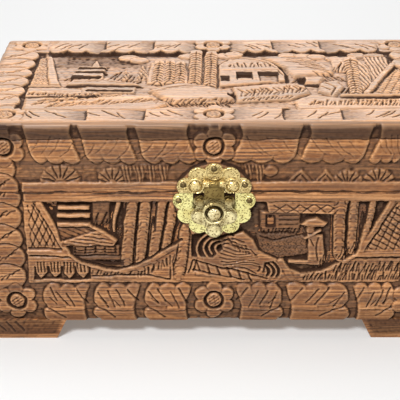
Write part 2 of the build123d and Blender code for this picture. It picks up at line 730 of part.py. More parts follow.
# Walls and top board of the lid
lid_front_row = row_places(CASE_WIDTH, LID_ROSETTE_Z, ROSETTE_INSET)
lid_side_row = row_places(CASE_DEPTH, LID_ROSETTE_Z, SIDE_ROSETTE_INSET)
lid_front = long_board(FRONT_Y, 1, LID_Z, TOP_Z)
lid_front = sink(lid_front, front_face(), lid_panel(CASE_WIDTH, END_BORDER) - hasp_seat(), PANEL_DEPTH)
lid_front = with_rosettes(lid_front, front_face(), lid_front_row)
parts["lid_front"] = drilled(lid_front, tack_cutters(LID_TACKS + STUDS))
parts["lid_back"] = drilled(long_board(BACK_Y, -1, LID_Z, TOP_Z), lid_screw_holes)
for name, side in (("left", -1), ("right", 1)):
    board = side_board(side, LID_Z, TOP_Z)
    board = sink(board, side_face(side), lid_panel(CASE_DEPTH, SIDE_BORDER), PANEL_DEPTH)
    parts[f"lid_{name}"] = with_rosettes(board, side_face(side), lid_side_row)
lid_top = block((-HALF_WIDTH, HALF_WIDTH), (FRONT_Y, BACK_Y), (TOP_Z, SUMMIT_Z))
lid_top = fillet(lid_top.faces().sort_by(Axis.Z)[-1].edges(), TOP_ROUND)
top_plane = Plane(origin=(0, 0, SUMMIT_Z))
top_reach = CASE_DEPTH / 2 - TOP_BORDER
top_panel = panel(CASE_WIDTH - 2 * END_BORDER, -top_reach, top_reach, ("left", "right", "bottom", "top"))
trench = Pos(0, top_reach - TRENCH_WIDTH / 2) * Rectangle(CASE_WIDTH, TRENCH_WIDTH)
top_levels = [(top_panel - trench, TOP_GROUND), (trench, PANEL_DEPTH)]
lid_forms = drawn(LID_FORMS, CASE_WIDTH / 314, CASE_DEPTH / 160)
lid_top = carved(lid_top, top_plane, top_panel, TOP_DROP, top_levels, lid_forms)
for level in (FRONT_Y + TOP_ROSETTE_FRONT, BACK_Y - TOP_ROSETTE_BACK):
    lid_top = with_rosettes(lid_top, top_plane, row_places(CASE_WIDTH, level, ROSETTE_INSET))
lid_top = with_rosettes(lid_top, front_face(), lid_front_row)
for side in (-1, 1):
    lid_top = with_rosettes(lid_top, side_face(side), lid_side_row)
parts["lid_top"] = lid_top

# Hinges and their screws
for name, x in hinge_xs.items():
    parts[f"hinge_{name}_case_leaf"] = hinge_leaf(x, "case")
    parts[f"hinge_{name}_lid_leaf"] = hinge_leaf(x, "lid")
    parts[f"hinge_{name}_pin"] = hinge_pin(x)
parts["hinge_case_screws"] = group(placed(plane, slotted_screw()) for plane in case_screw_planes)
parts["hinge_lid_screws"] = group(placed(plane, slotted_screw()) for plane in lid_screw_planes)

# Hasp
parts["hasp_lid_plate"] = hasp_lid_plate()
parts["hasp_case_plate"] = hasp_case_plate()
parts["hasp_tongue"] = hasp_tongue()
parts["hasp_pin"] = hasp_pin()
parts["hasp_post"] = hasp_post()
tack = domed(DOME_RADIUS, DOME_HEIGHT, TACK_RADIUS, TACK_LENGTH)
stud = domed(STUD_RADIUS, STUD_HEIGHT, TACK_RADIUS, TACK_LENGTH)
parts["hasp_lid_tacks"] = group(placed(plane, tack) for plane in LID_TACKS)
parts["hasp_case_tacks"] = group(placed(plane, tack) for plane in CASE_TACKS)
parts["hasp_studs"] = group(placed(plane, stud) for plane in STUDS)

# Tray
parts.update(tray_parts())

os.makedirs("parts", exist_ok=True)
for name, shape in parts.items():
    export_step(shape, f"parts/{name}.step")
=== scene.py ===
# %% [markdown]
# # A carved wooden jewelry box
# The real object is a small hardwood chest. Its front, sides and lid are carved in low relief:
# a border of lobed leaves runs round sunk panels with pavilions, trees and railings. A brass
# hasp shaped like a flower closes it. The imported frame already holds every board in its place,
# so this file only dresses it: carved faces, metalwork, felt, finishes, light and camera.

# %% Load the frame
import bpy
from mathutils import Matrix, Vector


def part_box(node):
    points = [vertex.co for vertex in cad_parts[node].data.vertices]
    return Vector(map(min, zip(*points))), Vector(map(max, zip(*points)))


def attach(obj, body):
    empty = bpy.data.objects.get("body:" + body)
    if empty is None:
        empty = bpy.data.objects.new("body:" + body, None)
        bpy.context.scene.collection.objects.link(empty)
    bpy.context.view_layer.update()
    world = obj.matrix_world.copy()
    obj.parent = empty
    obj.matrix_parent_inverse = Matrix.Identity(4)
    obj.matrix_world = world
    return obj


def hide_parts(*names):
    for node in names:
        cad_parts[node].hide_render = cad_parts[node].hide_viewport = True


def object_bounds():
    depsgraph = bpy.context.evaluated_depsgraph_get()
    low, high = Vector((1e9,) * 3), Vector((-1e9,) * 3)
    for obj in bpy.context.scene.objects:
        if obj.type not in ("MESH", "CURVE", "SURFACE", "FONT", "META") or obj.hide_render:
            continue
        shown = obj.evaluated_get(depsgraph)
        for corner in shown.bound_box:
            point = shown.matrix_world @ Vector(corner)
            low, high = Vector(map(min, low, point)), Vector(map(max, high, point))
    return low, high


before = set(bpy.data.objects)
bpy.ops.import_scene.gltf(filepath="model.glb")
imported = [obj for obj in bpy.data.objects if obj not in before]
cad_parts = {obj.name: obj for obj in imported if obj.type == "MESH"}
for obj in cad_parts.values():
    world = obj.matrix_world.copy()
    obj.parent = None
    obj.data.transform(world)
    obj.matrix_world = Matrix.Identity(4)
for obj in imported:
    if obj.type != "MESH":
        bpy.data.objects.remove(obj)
print("frame holds", len(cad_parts), "pieces")

# %% [markdown]
# A carver thinks in millimetres, and Blender works in metres. The boards are measured from the
# frame in millimetres here, and each mesh is scaled back to metres when it is made.

# %% Measures of the boards
import math

import bmesh
import bpy
import numpy as np
from mathutils import Matrix, Vector

cad_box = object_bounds()
MM = 0.001


def box_mm(node):
    """Lowest and highest corner of a CAD node, in millimetres."""
    low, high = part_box(node)
    return np.array(low) / MM, np.array(high) / MM


base_low, base_high = box_mm("base_board")
case_low, case_high = box_mm("case_front")
lid_low, lid_high = box_mm("lid_front")
top_low, top_high = box_mm("lid_top")
HALF_WIDTH = case_high[0]
FRONT = -case_low[1]
CASE_TOP = case_high[2]
LID_FOOT = lid_low[2]
SUMMIT = top_high[2]
print("box measures", 2 * HALF_WIDTH, "x", 2 * FRONT, "x", SUMMIT, "mm")

# %% [markdown]
# Carving takes wood away from a flat face, so each face is kept as a height map: zero is the
# face of the board and a negative number is how deep the gouge went. One map covers a whole
# face, across the joints between its boards, because the carver cut the leaves after the box
# was glued up. The alternative, one mesh per leaf, would leave gaps and floating edges.

# %% A carved face
CUT_STEP = 0.4
CURL_SQUAT = 0.75
chisel = np.random.default_rng(7)


class Carving:
    """A height map on one face of the box, with the directions that place it."""

    def __init__(self, along, up, out, level, u_span, v_span):
        self.along, self.up, self.out = (np.array(d, float) for d in (along, up, out))
        self.level = level
        self.us = np.arange(u_span[0], u_span[1] + CUT_STEP, CUT_STEP)
        self.vs = np.arange(v_span[0], v_span[1] + CUT_STEP, CUT_STEP)
        self.U, self.V = np.meshgrid(self.us, self.vs)
        self.h = np.zeros(self.U.shape)
        self.tint = np.full(self.U.shape, 0.5)
        # Painted shade and dark joints, laid on the wood apart from its height.
        self.shade_and_grime = np.zeros(self.U.shape)

    def window(self, points, margin=2.0):
        """Rows and columns of the map that cover some points."""
        low = np.min(points, axis=0) - margin
        high = np.max(points, axis=0) + margin
        columns = slice(*np.searchsorted(self.us, (low[0], high[0])))
        rows = slice(*np.searchsorted(self.vs, (low[1], high[1])))
        return rows, columns

    def under(self, shape):
        """Window of a shape, and the distance to its outline there, negative inside."""
        points, distance = shape
        w = self.window(points)
        return w, distance(self.U[w], self.V[w])

    def leave(self, shape, top=-0.3, crown=0.7, edge=0.6):
        """Wood left standing up to a level, with its edges rounded over."""
        w, d = self.under(shape)
        kept = np.clip(0.5 - d / edge, 0, 1)
        eased = crown * np.clip(1 + d / (2 * crown + 0.1), 0, 1) ** 2
        self.h[w] += (top - eased - self.h[w]) * kept
        self.tint[w] += (chisel.uniform(0, 1) - self.tint[w]) * kept
        self.shade_and_grime[w] *= kept < 0.9

    def sink(self, shape, depth, slope=0.7, dark=0.0):
        """Ground cut down to a depth below the face, and how much painted shade lies in it."""
        w, d = self.under(shape)
        inside = np.clip(-d / slope, 0, 1)
        self.h[w] = np.minimum(self.h[w], -depth * inside)
        self.shade_and_grime[w] = np.maximum(self.shade_and_grime[w], dark * np.clip(1 - d / 0.6, 0, 1))

    def groove(self, path, width=1.3, depth=1.2, dark=0.0):
        """A V cut along a line of points, with as much painted shade in it as dark asks."""
        path = np.array(path, float)
        w = self.window(path)
        best = np.full(self.U[w].shape, 99.0)
        for a, b in zip(path, path[1:]):
            best = np.minimum(best, bar(a, b, 0.0)[1](self.U[w], self.V[w]))
        cut = np.clip(1 - best / (width / 2), 0, 1)
        self.h[w] -= depth * cut
        self.shade_and_grime[w] = np.maximum(self.shade_and_grime[w], dark * np.sqrt(cut))

    def score(self, shape, angle, pitch, width=0.9, depth=0.8):
        """Parallel V cuts inside a shape. The angle is across the cuts, in degrees."""
        w, d = self.under(shape)
        turn = math.radians(angle)
        across = self.U[w] * math.cos(turn) + self.V[w] * math.sin(turn)
        off = np.abs((across / pitch) % 1 - 0.5) * pitch
        inside = np.clip(-d / 0.5, 0, 1)
        self.h[w] -= depth * np.clip(1 - off / (width / 2), 0, 1) * inside

    def peck(self, shape, pitch=1.7, depth=0.6):
        """Ground dotted with the point of a punch."""
        w, d = self.under(shape)
        u = self.U[w] + 0.5 * np.sin(1.3 * self.V[w])
        v = self.V[w] + 0.5 * np.sin(1.1 * self.U[w])
        dots = np.sin(2 * math.pi * u / pitch) * np.sin(2 * math.pi * v / pitch)
        self.h[w] -= depth * np.clip(dots, 0, 1) * np.clip(-d / 0.5, 0, 1)

    def trunk(self, a, b, wide, notch=3.1, lean=0.9):
        """A tree trunk: a rounded bar with slanting nicks down both of its sides."""
        a, b = np.array(a, float), np.array(b, float)
        w, d = self.under(bar(a, b, wide))
        ahead = (b - a) / np.hypot(*(b - a))
        run = (self.U[w] - a[0]) * ahead[0] + (self.V[w] - a[1]) * ahead[1]
        across = (self.V[w] - a[1]) * ahead[0] - (self.U[w] - a[0]) * ahead[1]
        place = run - lean * np.abs(across) + 0.8 * np.sin(0.9 * run + wide)
        off = np.abs((place / notch) % 1 - 0.5) * notch
        side = np.clip((np.abs(2 * across / wide) - 0.25) / 0.3, 0, 1)
        top = -0.5 - 1.0 * (2 * across / wide) ** 2 - 1.2 * side * np.clip(1 - off / 0.7, 0, 1)
        kept = np.clip(0.5 - d / 0.6, 0, 1)
        self.h[w] += (top - self.h[w]) * kept
        self.tint[w] += (chisel.uniform(0.3, 1) - self.tint[w]) * kept

    def feather(self, a, b, wide, pitch=4.4):
        """A tree as a flat bar with a middle cut, and slanting cuts like the barbs of a feather, with a
        little painted shade in the barbs.
        """
        a, b = np.array(a, float), np.array(b, float)
        self.leave(bar(a, b, wide), top=-0.7, crown=0.6)
        length = np.hypot(*(b - a))
        ahead = (b - a) / length
        beside = np.array([-ahead[1], ahead[0]])
        for run in np.arange(3.0, length, pitch):
            for side in (-0.45, 0.45):
                root = a + ahead * (run + chisel.uniform(-0.3, 0.3))
                self.groove([root, root + ahead * 3.4 + beside * side * wide], 1.8, 1.5, dark=0.35)
        self.groove([a, b], 1.3, 1.1)

    def grass(self, a, b, tall, lean=0.3, pitch=1.7):
        """Short upright strokes of many lengths, rooted on a line."""
        a, b = np.array(a, float), np.array(b, float)
        for t in np.arange(0, 1, pitch / np.hypot(*(b - a))):
            root = a + (b - a) * t + chisel.uniform(-0.5, 0.5, 2)
            reach = tall * chisel.uniform(0.45, 1.0)
            tip = root + reach * np.array([lean + chisel.uniform(-0.25, 0.25), 1])
            self.groove([root, tip], chisel.uniform(1.3, 1.9), chisel.uniform(1.1, 2.0))

    def curls(self, centre, sizes, start, end, wide=1.2):
        """Nested curved ridges, like a breaking wave."""
        for size in sizes:
            turns = [math.radians(t) for t in range(start, end, 12)]
            path = [
                (centre[0] + size * math.cos(t), centre[1] + CURL_SQUAT * size * math.sin(t))
                for t in turns
            ]
            for p, q in zip(path, path[1:]):
                self.leave(bar(p, q, wide), top=-1.1, crown=0.4)

    def waves(self, centre, sizes, start, end):
        """Nested curved cuts of uneven length, like the strokes of running water, with a little painted
        shade in them.
        """
        for size in sizes:
            first, last = start + chisel.integers(0, 35), end - chisel.integers(0, 45)
            turns = [math.radians(t) for t in range(first, last, 12)]
            wobble = chisel.uniform(0, 6)
            sway = [size * (1 + 0.07 * math.sin(3 * t + wobble)) for t in turns]
            path = [
                (centre[0] + r * math.cos(t), centre[1] + CURL_SQUAT * r * math.sin(t))
                for r, t in zip(sway, turns)
            ]
            self.groove(path, chisel.uniform(1.1, 1.9), chisel.uniform(1.1, 2.2), dark=0.35)

    def read(self, layer, u, v):
        """A layer of the map at any places, between its samples."""
        x = np.clip((u - self.us[0]) / CUT_STEP, 0, len(self.us) - 1.001)
        y = np.clip((v - self.vs[0]) / CUT_STEP, 0, len(self.vs) - 1.001)
        i, j = x.astype(int), y.astype(int)
        fx, fy = x - i, y - j
        low = layer[j, i] * (1 - fx) + layer[j, i + 1] * fx
        high = layer[j + 1, i] * (1 - fx) + layer[j + 1, i + 1] * fx
        return low * (1 - fy) + high * fy


print("carving step", CUT_STEP, "mm")

# %% [markdown]
# Every cut needs an outline. An outline is kept as a function that gives the distance to its
# edge, negative inside, because a distance also tells how far to round the edge over. A bar, a
# patch with straight sides and an oval are enough for all the forms on the box.

# %% Outlines to cut
def bar(a, b, wide, narrow=None):
    """A straight bar with round ends, and a taper if its far end is given."""
    a, b = np.array(a, float), np.array(b, float)
    end = wide if narrow is None else narrow
    run = b - a

    def distance(u, v):
        t = np.clip(((u - a[0]) * run[0] + (v - a[1]) * run[1]) / (run @ run), 0, 1)
        return np.hypot(u - a[0] - t * run[0], v - a[1] - t * run[1]) - (wide + (end - wide) * t) / 2

    reach = max(wide, end) / 2
    return np.array([a - reach, a + reach, b - reach, b + reach]), distance


def patch(*points):
    """A shape with straight sides through some points."""
    points = np.array(points, float)

    def distance(u, v):
        best = np.full(u.shape, 99.0)
        inside = np.zeros(u.shape, bool)
        for a, b in zip(points, np.roll(points, -1, axis=0)):
            best = np.minimum(best, bar(a, b, 0.0)[1](u, v))
            crossing = a[0] + (b[0] - a[0]) * (v - a[1]) / (b[1] - a[1] + 1e-9)
            inside ^= ((a[1] > v) != (b[1] > v)) & (u < crossing)
        return np.where(inside, -best, best)

    return points, distance


def sheet_of(u0, u1, v0, v1):
    """A rectangle."""
    return patch((u0, v0), (u1, v0), (u1, v1), (u0, v1))


def oval(centre, wide, tall):
    """An oval by its two radii."""
    cu, cv = centre

    def distance(u, v):
        return (np.hypot((u - cu) / wide, (v - cv) / tall) - 1) * min(wide, tall)

    return np.array([(cu - wide, cv - tall), (cu + wide, cv + tall)]), distance


def joined(*shapes):
    """Several shapes as one outline."""

    def distance(u, v):
        return np.min([far(u, v) for points, far in shapes], axis=0)

    return np.concatenate([points for points, far in shapes]), distance


print("outlines ready")

# %% [markdown]
# Three maps are started for the faces that the photograph shows: the front of the case, the
# brow, which is the front of the lid, and the crown, which is its top. Each is given by the
# directions along, up and out of the face, its level and its two spans.

# %% Maps of the front and the lid
front_way = ((1, 0, 0), (0, 0, 1), (0, -1, 0))
top_way = ((1, 0, 0), (0, 1, 0), (0, 0, 1))
full_width = (-HALF_WIDTH, HALF_WIDTH)
front = Carving(*front_way, FRONT, full_width, (base_low[2], CASE_TOP))
brow = Carving(*front_way, FRONT, full_width, (LID_FOOT, SUMMIT))
crown = Carving(*top_way, SUMMIT, full_width, (-FRONT, FRONT))
print("front map", front.h.shape, "lid front", brow.h.shape, "lid top", crown.h.shape)

# %% [markdown]
# The border is one leaf repeated. Each leaf stands on the board's edge and its free rim swells
# into three lobes. On the case a notch on its outer side splits off a lower lobe, and bold
# veins lean back to the root. The leaves that hang from the lid have no notch and lean more;
# their rims are painted pale, partly as wear and partly as a highlight, their roots darker as
# painted shade, and they keep only faint veins. The outline is worked out in the leaf's own
# directions, along the edge and in from it, so the same lines serve the front and the sides.

# %% Border leaf
RIM_LOBES = 3
RIM_NOTCH = 3.2
SIDE_NOTCH_UP = 0.36
LEAF_LEAN = 3.0
BORDER_GROUND = 2.7
PANEL_GROUND = 4.2


def leaf(carving, corner, out, inward, length, rise, notch):
    """One border leaf: length along the edge from its corner, rise in from the edge."""
    corner, out, inward = (np.array(d, float) for d in (corner, out, inward))
    lean = LEAF_LEAN if notch else 2 * LEAF_LEAN

    def spot(x, y):
        return corner + out * (x * length - lean * y) + inward * y * rise

    w = carving.window([spot(x, y) for x in (0, 1) for y in (0, 1)], 4.0)
    u, v = carving.U[w] - corner[0], carving.V[w] - corner[1]
    y = u * inward[0] + v * inward[1]
    up = np.clip(y / rise, 0, 1)
    x = u * out[0] + v * out[1] + lean * up
    lobe = (RIM_LOBES * np.clip(x / length, 0, 0.999) + chisel.uniform(-0.1, 0.1)) % 1
    rim = rise - RIM_NOTCH * (2 * lobe - 1) ** 2
    outer = length - 4.5 * np.clip((up - 0.7) / 0.3, 0, 1) ** 2
    outer -= 1.5 * notch * np.clip(1 - up / 0.16, 0, 1) ** 2
    outer -= notch * np.exp(-(((up - SIDE_NOTCH_UP) / 0.07) ** 2))
    inner = 2.4 * np.sin(math.pi * up) + 0.8 * np.sin(2 * math.pi * up)
    d = np.maximum(np.maximum(inner - x, x - outer), y - rim)
    waist = 0.75 * np.exp(-(((up - 0.42) / 0.13) ** 2))
    below = np.exp(-np.clip(SIDE_NOTCH_UP - up, 0, 1) / 0.06) * (up < SIDE_NOTCH_UP)
    under = 0.35 * notch * below * (x > 0.5 * length)
    fall = 1.5 * np.clip(1 + (y - rim) / 5.0, 0, 1) ** 2
    fall += 0.7 * np.clip((up - 0.6) / 0.4, 0, 1) * (1 - lobe)
    eased = 0.9 * np.clip(1 + d / 2.0, 0, 1) ** 2
    kept = np.clip(0.5 - d / 0.6, 0, 1)
    carving.h[w] += (-0.1 - waist - under - fall - eased - carving.h[w]) * kept
    # Lid leaves: rims painted pale, partly wear and partly a painted highlight; roots painted darker as
    # shade.
    rim_wear_highlight_root_shade = 0.0
    if not notch:
        rim_wear_highlight_root_shade = 1.5 * np.clip(1 + d / 3.5, 0, 1) ** 2 - 0.5 * np.clip(1 - up / 0.5, 0, 1)
    carving.tint[w] += (chisel.uniform(0, 1) + rim_wear_highlight_root_shade - carving.tint[w]) * kept
    if not notch:
        for start in (1.05, 0.84, 0.66, 0.45):
            x0 = start + chisel.uniform(-0.06, 0.06)
            y0, y1 = chisel.uniform(0.3, 0.52), chisel.uniform(0.7, 0.86)
            path = [spot(x0 - 0.34, y0), spot(x0 - 0.22, 0.5 * (y0 + y1)), spot(x0 - 0.02, y1)]
            carving.groove(path, chisel.uniform(0.9, 1.4), chisel.uniform(0.4, 1.0))
        return
    for start in (0.9, 0.7, 0.5, 0.31):
        x0, y0 = start + chisel.uniform(-0.05, 0.05), chisel.uniform(0.72, 0.86)
        x1, y1 = x0 - chisel.uniform(0.15, 0.27), y0 - chisel.uniform(0.32, 0.46)
        carving.groove([spot(x0, y0), spot(x1, y1)], chisel.uniform(1.4, 2.0), chisel.uniform(1.1, 1.8))
    for cut in range(chisel.integers(1, 3)):
        x0, y0 = 0.86 - 0.3 * cut, 0.58 - 0.06 * cut
        carving.groove([spot(x0, y0), spot(x0 - 0.16, y0 - 0.16)], 1.3, 1.1)
    carving.groove([spot(0.93, 0.33), spot(0.75, 0.25), spot(0.52, 0.1)], 1.5, 1.3)


def leaf_row(carving, edge, inward, left, right, rise, notch=2.6):
    """Leaves on both sides of the middle along an edge, each from its start to its end."""
    for side, spans in ((-1, left), (1, right)):
        for start, end in spans:
            leaf(carving, (side * start, edge), (side, 0), (0, inward), end - start, rise, notch)


print("leaf rim has", RIM_LOBES, "lobes")

# %% [markdown]
# Between the leaves sit rosettes: a round button in a ring groove, in six short petals. Up the
# corners climb round leaves, laid like scales. Each is a few uses of the tools above, so one
# function of each serves every face. Near an outer edge all cuts run out, because the edges of
# the real box are worn smooth and keep a clean outline.

# %% Rosettes, scales and soft edges
ROSETTE_SEAT, BUTTON, RING = 14.0, 5.2, 2.5
PETALS, PETAL, PETAL_RING = 6, 5.4, 9.3
SCALE_RISE, SCALE_REACH, SCALE_TAIL = 11.0, 13.0, 12.0
EDGE_FADE = 4.0


def rosette(carving, centre):
    """A round button in a ring groove, with short petals round it."""
    carving.sink(oval(centre, ROSETTE_SEAT, ROSETTE_SEAT), 1.7, 2.0)
    for k in range(PETALS):
        turn = 2 * math.pi * (k + 0.5) / PETALS
        place = (centre[0] + PETAL_RING * math.cos(turn), centre[1] + PETAL_RING * math.sin(turn))
        carving.leave(oval(place, PETAL, PETAL), top=-0.35, crown=0.8)
    carving.sink(oval(centre, BUTTON + RING, BUTTON + RING), 3.0, 1.0)
    carving.leave(oval(centre, BUTTON, BUTTON), top=-0.35, crown=0.6)
    face = oval(centre, BUTTON - 0.5, BUTTON - 0.5)
    carving.score(face, -55, 2.1, 1.1, 0.9)
    carving.score(face, 15, 3.3, 1.0, 0.6)


def scale_column(carving, side, levels, wide):
    """Round leaves stacked like scales up one upright edge, the lower over the upper."""
    edge = side * -carving.us[0]
    way = -side
    for level in sorted(levels, reverse=True):
        reach = wide * chisel.uniform(0.93, 1.0)
        lobe = oval((edge + way * (reach - SCALE_REACH), level), SCALE_REACH, SCALE_RISE)
        ends = sorted((edge - way * 5, edge + way * (reach - SCALE_TAIL)))
        tail = sheet_of(*ends, level - SCALE_RISE + 1, level + SCALE_RISE - 1)
        carving.leave(joined(lobe, tail), top=-0.2, crown=1.0)
        rim = [math.radians(a) for a in range(0, 120, 10)]
        arc = []
        for a in rim:
            out = reach - SCALE_REACH + SCALE_REACH * math.cos(a)
            arc.append((edge + way * out, level + SCALE_RISE * math.sin(a)))
        carving.groove(arc, 1.2, 1.0)
        for k in range(5):
            foot = (edge + way * (3.0 + 3.8 * k), level - 6.5 + 2.0 * k + chisel.uniform(-1.0, 1.0))
            tip = (foot[0] + way * chisel.uniform(4.5, 7.0), foot[1] + chisel.uniform(4.0, 6.0))
            bow = ((foot[0] + tip[0]) / 2 - way * 0.5, (foot[1] + tip[1]) / 2 + 0.9)
            carving.groove([foot, bow, tip], chisel.uniform(1.1, 1.7), chisel.uniform(0.9, 1.4))


def soft_edges(carving, left_right, top_edge, bottom_edge=False, band=4.5):
    """Brings the cuts up to the face near an outer edge, so the box keeps a smooth outline."""
    share = np.ones(carving.h.shape)
    if left_right:
        ends = np.minimum(carving.U - carving.us[0], carving.us[-1] - carving.U)
        share *= np.clip((ends - 0.5) / EDGE_FADE, 0, 1)
    if top_edge:
        share *= np.clip((carving.vs[-1] - carving.V - band + EDGE_FADE) / EDGE_FADE, 0, 1)
    if bottom_edge:
        share *= np.clip((carving.V - carving.vs[0] - band + EDGE_FADE) / EDGE_FADE, 0, 1)
    carving.h = carving.h * share - 0.1 * (1 - share)
    carving.shade_and_grime *= share


print("rosettes of", PETALS, "petals, scales", SCALE_REACH, "mm long")

# %% [markdown]
# First come the grounds of the front, which are the border's ground and the plain panel. Then
# the leaves are stood on them. On the photograph three leaves fill each half of the foot
# border, and round leaves climb each corner. The leaves aren't all of one length, so their
# starts and ends are listed for each half.

# %% Front border
PANEL_EDGE = 127.5
PANEL_LOW, BAND_LOW = 45.0, 108.2
COLUMN, CASE_SCALES = 29.0, (50.0, 65.5, 80.5, 96.5, 111.5)
LEAF_RISE = 30.5
ROSETTE_X = HALF_WIDTH - 20.0
BASE_ROSETTE = base_low[2] + 16.0
front.h[:] = -BORDER_GROUND
front.leave(sheet_of(-PANEL_EDGE, PANEL_EDGE, PANEL_LOW, BAND_LOW), top=-1.5, crown=0.2)
for side in (-1, 1):
    scale_column(front, side, CASE_SCALES, COLUMN)
base_left = ((18.0, 49.5), (53.5, 85.0), (88.5, 120.0))
base_right = ((17.0, 48.5), (52.0, 94.5), (98.5, 127.0))
leaf_row(front, base_low[2], 1, base_left, base_right, LEAF_RISE)
for place in (-ROSETTE_X, 0.0, ROSETTE_X):
    rosette(front, (place, BASE_ROSETTE))
print("front border cut, deepest", round(front.h.min(), 2), "mm")

# %% [markdown]
# The front panel shows two gardens, each in a deep hollow under a slanting beam and a curved
# rail. The hollows are sunk first, and every form is then a few strokes of the same tools, at
# places measured on the photograph: lattice, a pavilion, trunks, a mound, railings.

# %% Front panel, left garden
# The deepest holes, the slits between trunks and the rail's groove are painted dark as shade.
HOLE = 4.7
rail = [(-99, 67.5), (-91.5, 62), (-83, 58), (-74.5, 55.5), (-63.5, 54.5)]
rail += [(-52.5, 57.5), (-41, 64), (-31, 71), (-22, 76.5)]
front.sink(patch((-115, BAND_LOW), *rail, (-18, BAND_LOW)), PANEL_GROUND)
lattice = patch((-125, 105.5), (-116.5, 105.5), (-104, 73), (-125, 73))
front.score(lattice, 24, 4.4, 1.5, 1.3)
front.score(lattice, -24, 4.4, 1.5, 1.3)
front.leave(bar((-116.5, 107), (-99.5, 68), 4.2), top=-0.5, crown=0.6)
front.groove([(-120, 106), (-103.5, 72.5)], 1.5, 1.3)
front.groove([(-126, 72.8), (-103, 71.8)], 1.6, 1.6)
front.leave(bar((-126, 69.6), (-100, 68.2), 4.4), top=-0.4, crown=0.6)
front.groove([(-126, 66.4), (-98, 65.0)], 1.8, 1.9)
for x in (-118.5, -109.0, -99.0, -90.0):
    front.sink(patch((x - 5.4, 58.5), (x + 5.4, 58.5), (x + 5.4, 47), (x - 5.4, 47)), 3.6)
    cup = patch((x - 4.4, 61), (x + 4.4, 61), (x + 3.8, 52.5), (x, 48.2), (x - 3.8, 52.5))
    front.leave(cup, top=-0.8, crown=0.9)
    front.score(patch((x - 4.6, 61.5), (x + 4.6, 61.5), (x + 3.2, 53), (x - 3.2, 53)), 0, 2.3, 1.4, 1.9)
for a, b in zip(rail, rail[1:]):
    front.leave(bar(a, b, 2.4), top=-0.5, crown=0.4)
front.grass((-52, 49), (-26, 62), 7.0, 0.15, 2.4)
front.grass((-30, 48), (-14, 54), 14.0, 0.1, 3.4)
front.groove([(-84, 49.5), (-66, 51.0), (-46, 51.0), (-30, 47.5)], 1.8, 1.8)
front.grass((-84, 50.5), (-58, 52), 3.5, 0.4, 2.6)

for low in (103.0, 97.0, 90.5):
    front.leave(sheet_of(-106, -83, low - 1.3, low + 2.0), top=-0.7, crown=0.9)
front.leave(patch((-106, 88.5), (-82, 88.5), (-78, 85.5), (-103.5, 78.5)), top=-2.2)
front.score(patch((-105, 88), (-82, 88), (-79, 85.5), (-103, 79)), 62, 3.2, 1.2, 1.0)
front.leave(patch((-102, 78.5), (-79, 86), (-66, 77.5), (-67, 74.5), (-103, 74.5)), top=-0.9)
front.score(patch((-102, 78), (-79, 85), (-67, 77), (-68, 75), (-102, 75)), 82, 2.5, 1.4, 1.4)
front.leave(bar((-83, 90), (-66.5, 78.5), 2.6), top=-0.6)
front.leave(sheet_of(-81.5, -69.5, 89.5, BAND_LOW), top=-2.6)
front.grass((-81, 90), (-70, 86), 13.0, 0.2, 2.6)
front.peck(patch((-78, 92), (-58, 92), (-60, 78), (-68, 80)), 2.1, 1.2)
front.leave(bar((-63.5, 107), (-67.5, 85.5), 3.4, 2.2), top=-0.7)
front.leave(sheet_of(-96, -64, 66.5, 74.0), top=-2.2)
front.score(sheet_of(-95.5, -65, 67.3, 73.4), 0, 7.0, 1.6, 1.7)
front.score(sheet_of(-95.5, -65, 67.3, 73.4), 90, 2.4, 1.3, 1.7)
front.leave(patch((-94, 65.5), (-62, 66), (-61, 57), (-66, 56.5), (-83, 60)), top=-2.6)
front.sink(patch((-88, 62.5), (-62, 63), (-62, 59.5), (-70, 58.8)), HOLE, dark=0.9)
for a, b, wide in (
    ((-54, 107.5), (-60, 56.5), 8.6),
    ((-45.5, 107.5), (-50.0, 58.5), 8.0),
    ((-34.5, 107.5), (-41.0, 65.0), 8.2),
    ((-26.5, 107.5), (-33.5, 71.5), 7.2),
    ((-18, 92), (-23.5, 51), 8.4),
):
    front.trunk(a, b, wide)
for a, b in (
    ((-50, 107), (-55, 58)),
    ((-40, 107), (-46, 62)),
    ((-30.5, 107), (-37, 68)),
    ((-21, 95), (-28, 72)),
):
    front.groove([a, b], 2.2, 2.4, dark=0.8)
for left, right, tip in ((-61.5, -57.5, (-60, 94)), (-42.5, -37.5, (-39.5, 86))):
    front.sink(patch((left, BAND_LOW), (right, BAND_LOW), tip), HOLE, dark=0.9)
front.sink(patch((-113.5, BAND_LOW), (-104, BAND_LOW), (-106.5, 95), (-110, 99)), HOLE, dark=0.9)
front.groove([(x, z + 2.6) for x, z in rail[4:]], 2.0, 2.0, dark=0.7)
for a, b in zip(rail[4:], rail[5:]):
    front.leave(bar(a, b, 3.4), top=-0.4, crown=0.5)
front.groove([(-15.5, 90), (-19.5, 52)], 1.5, 1.3, dark=0.3)
front.groove([(-24.5, 76), (-27.5, 58)], 1.5, 1.3, dark=0.3)
print("left garden cut")

# %% [markdown]
# The right garden has a mound of running water in the middle, with curled ridges at both ends,
# a house behind a bank, a standing form in a broad hat, trunks and a lattice screen. Curls are
# left standing and waves are cut, so the water has both ridges and strokes.

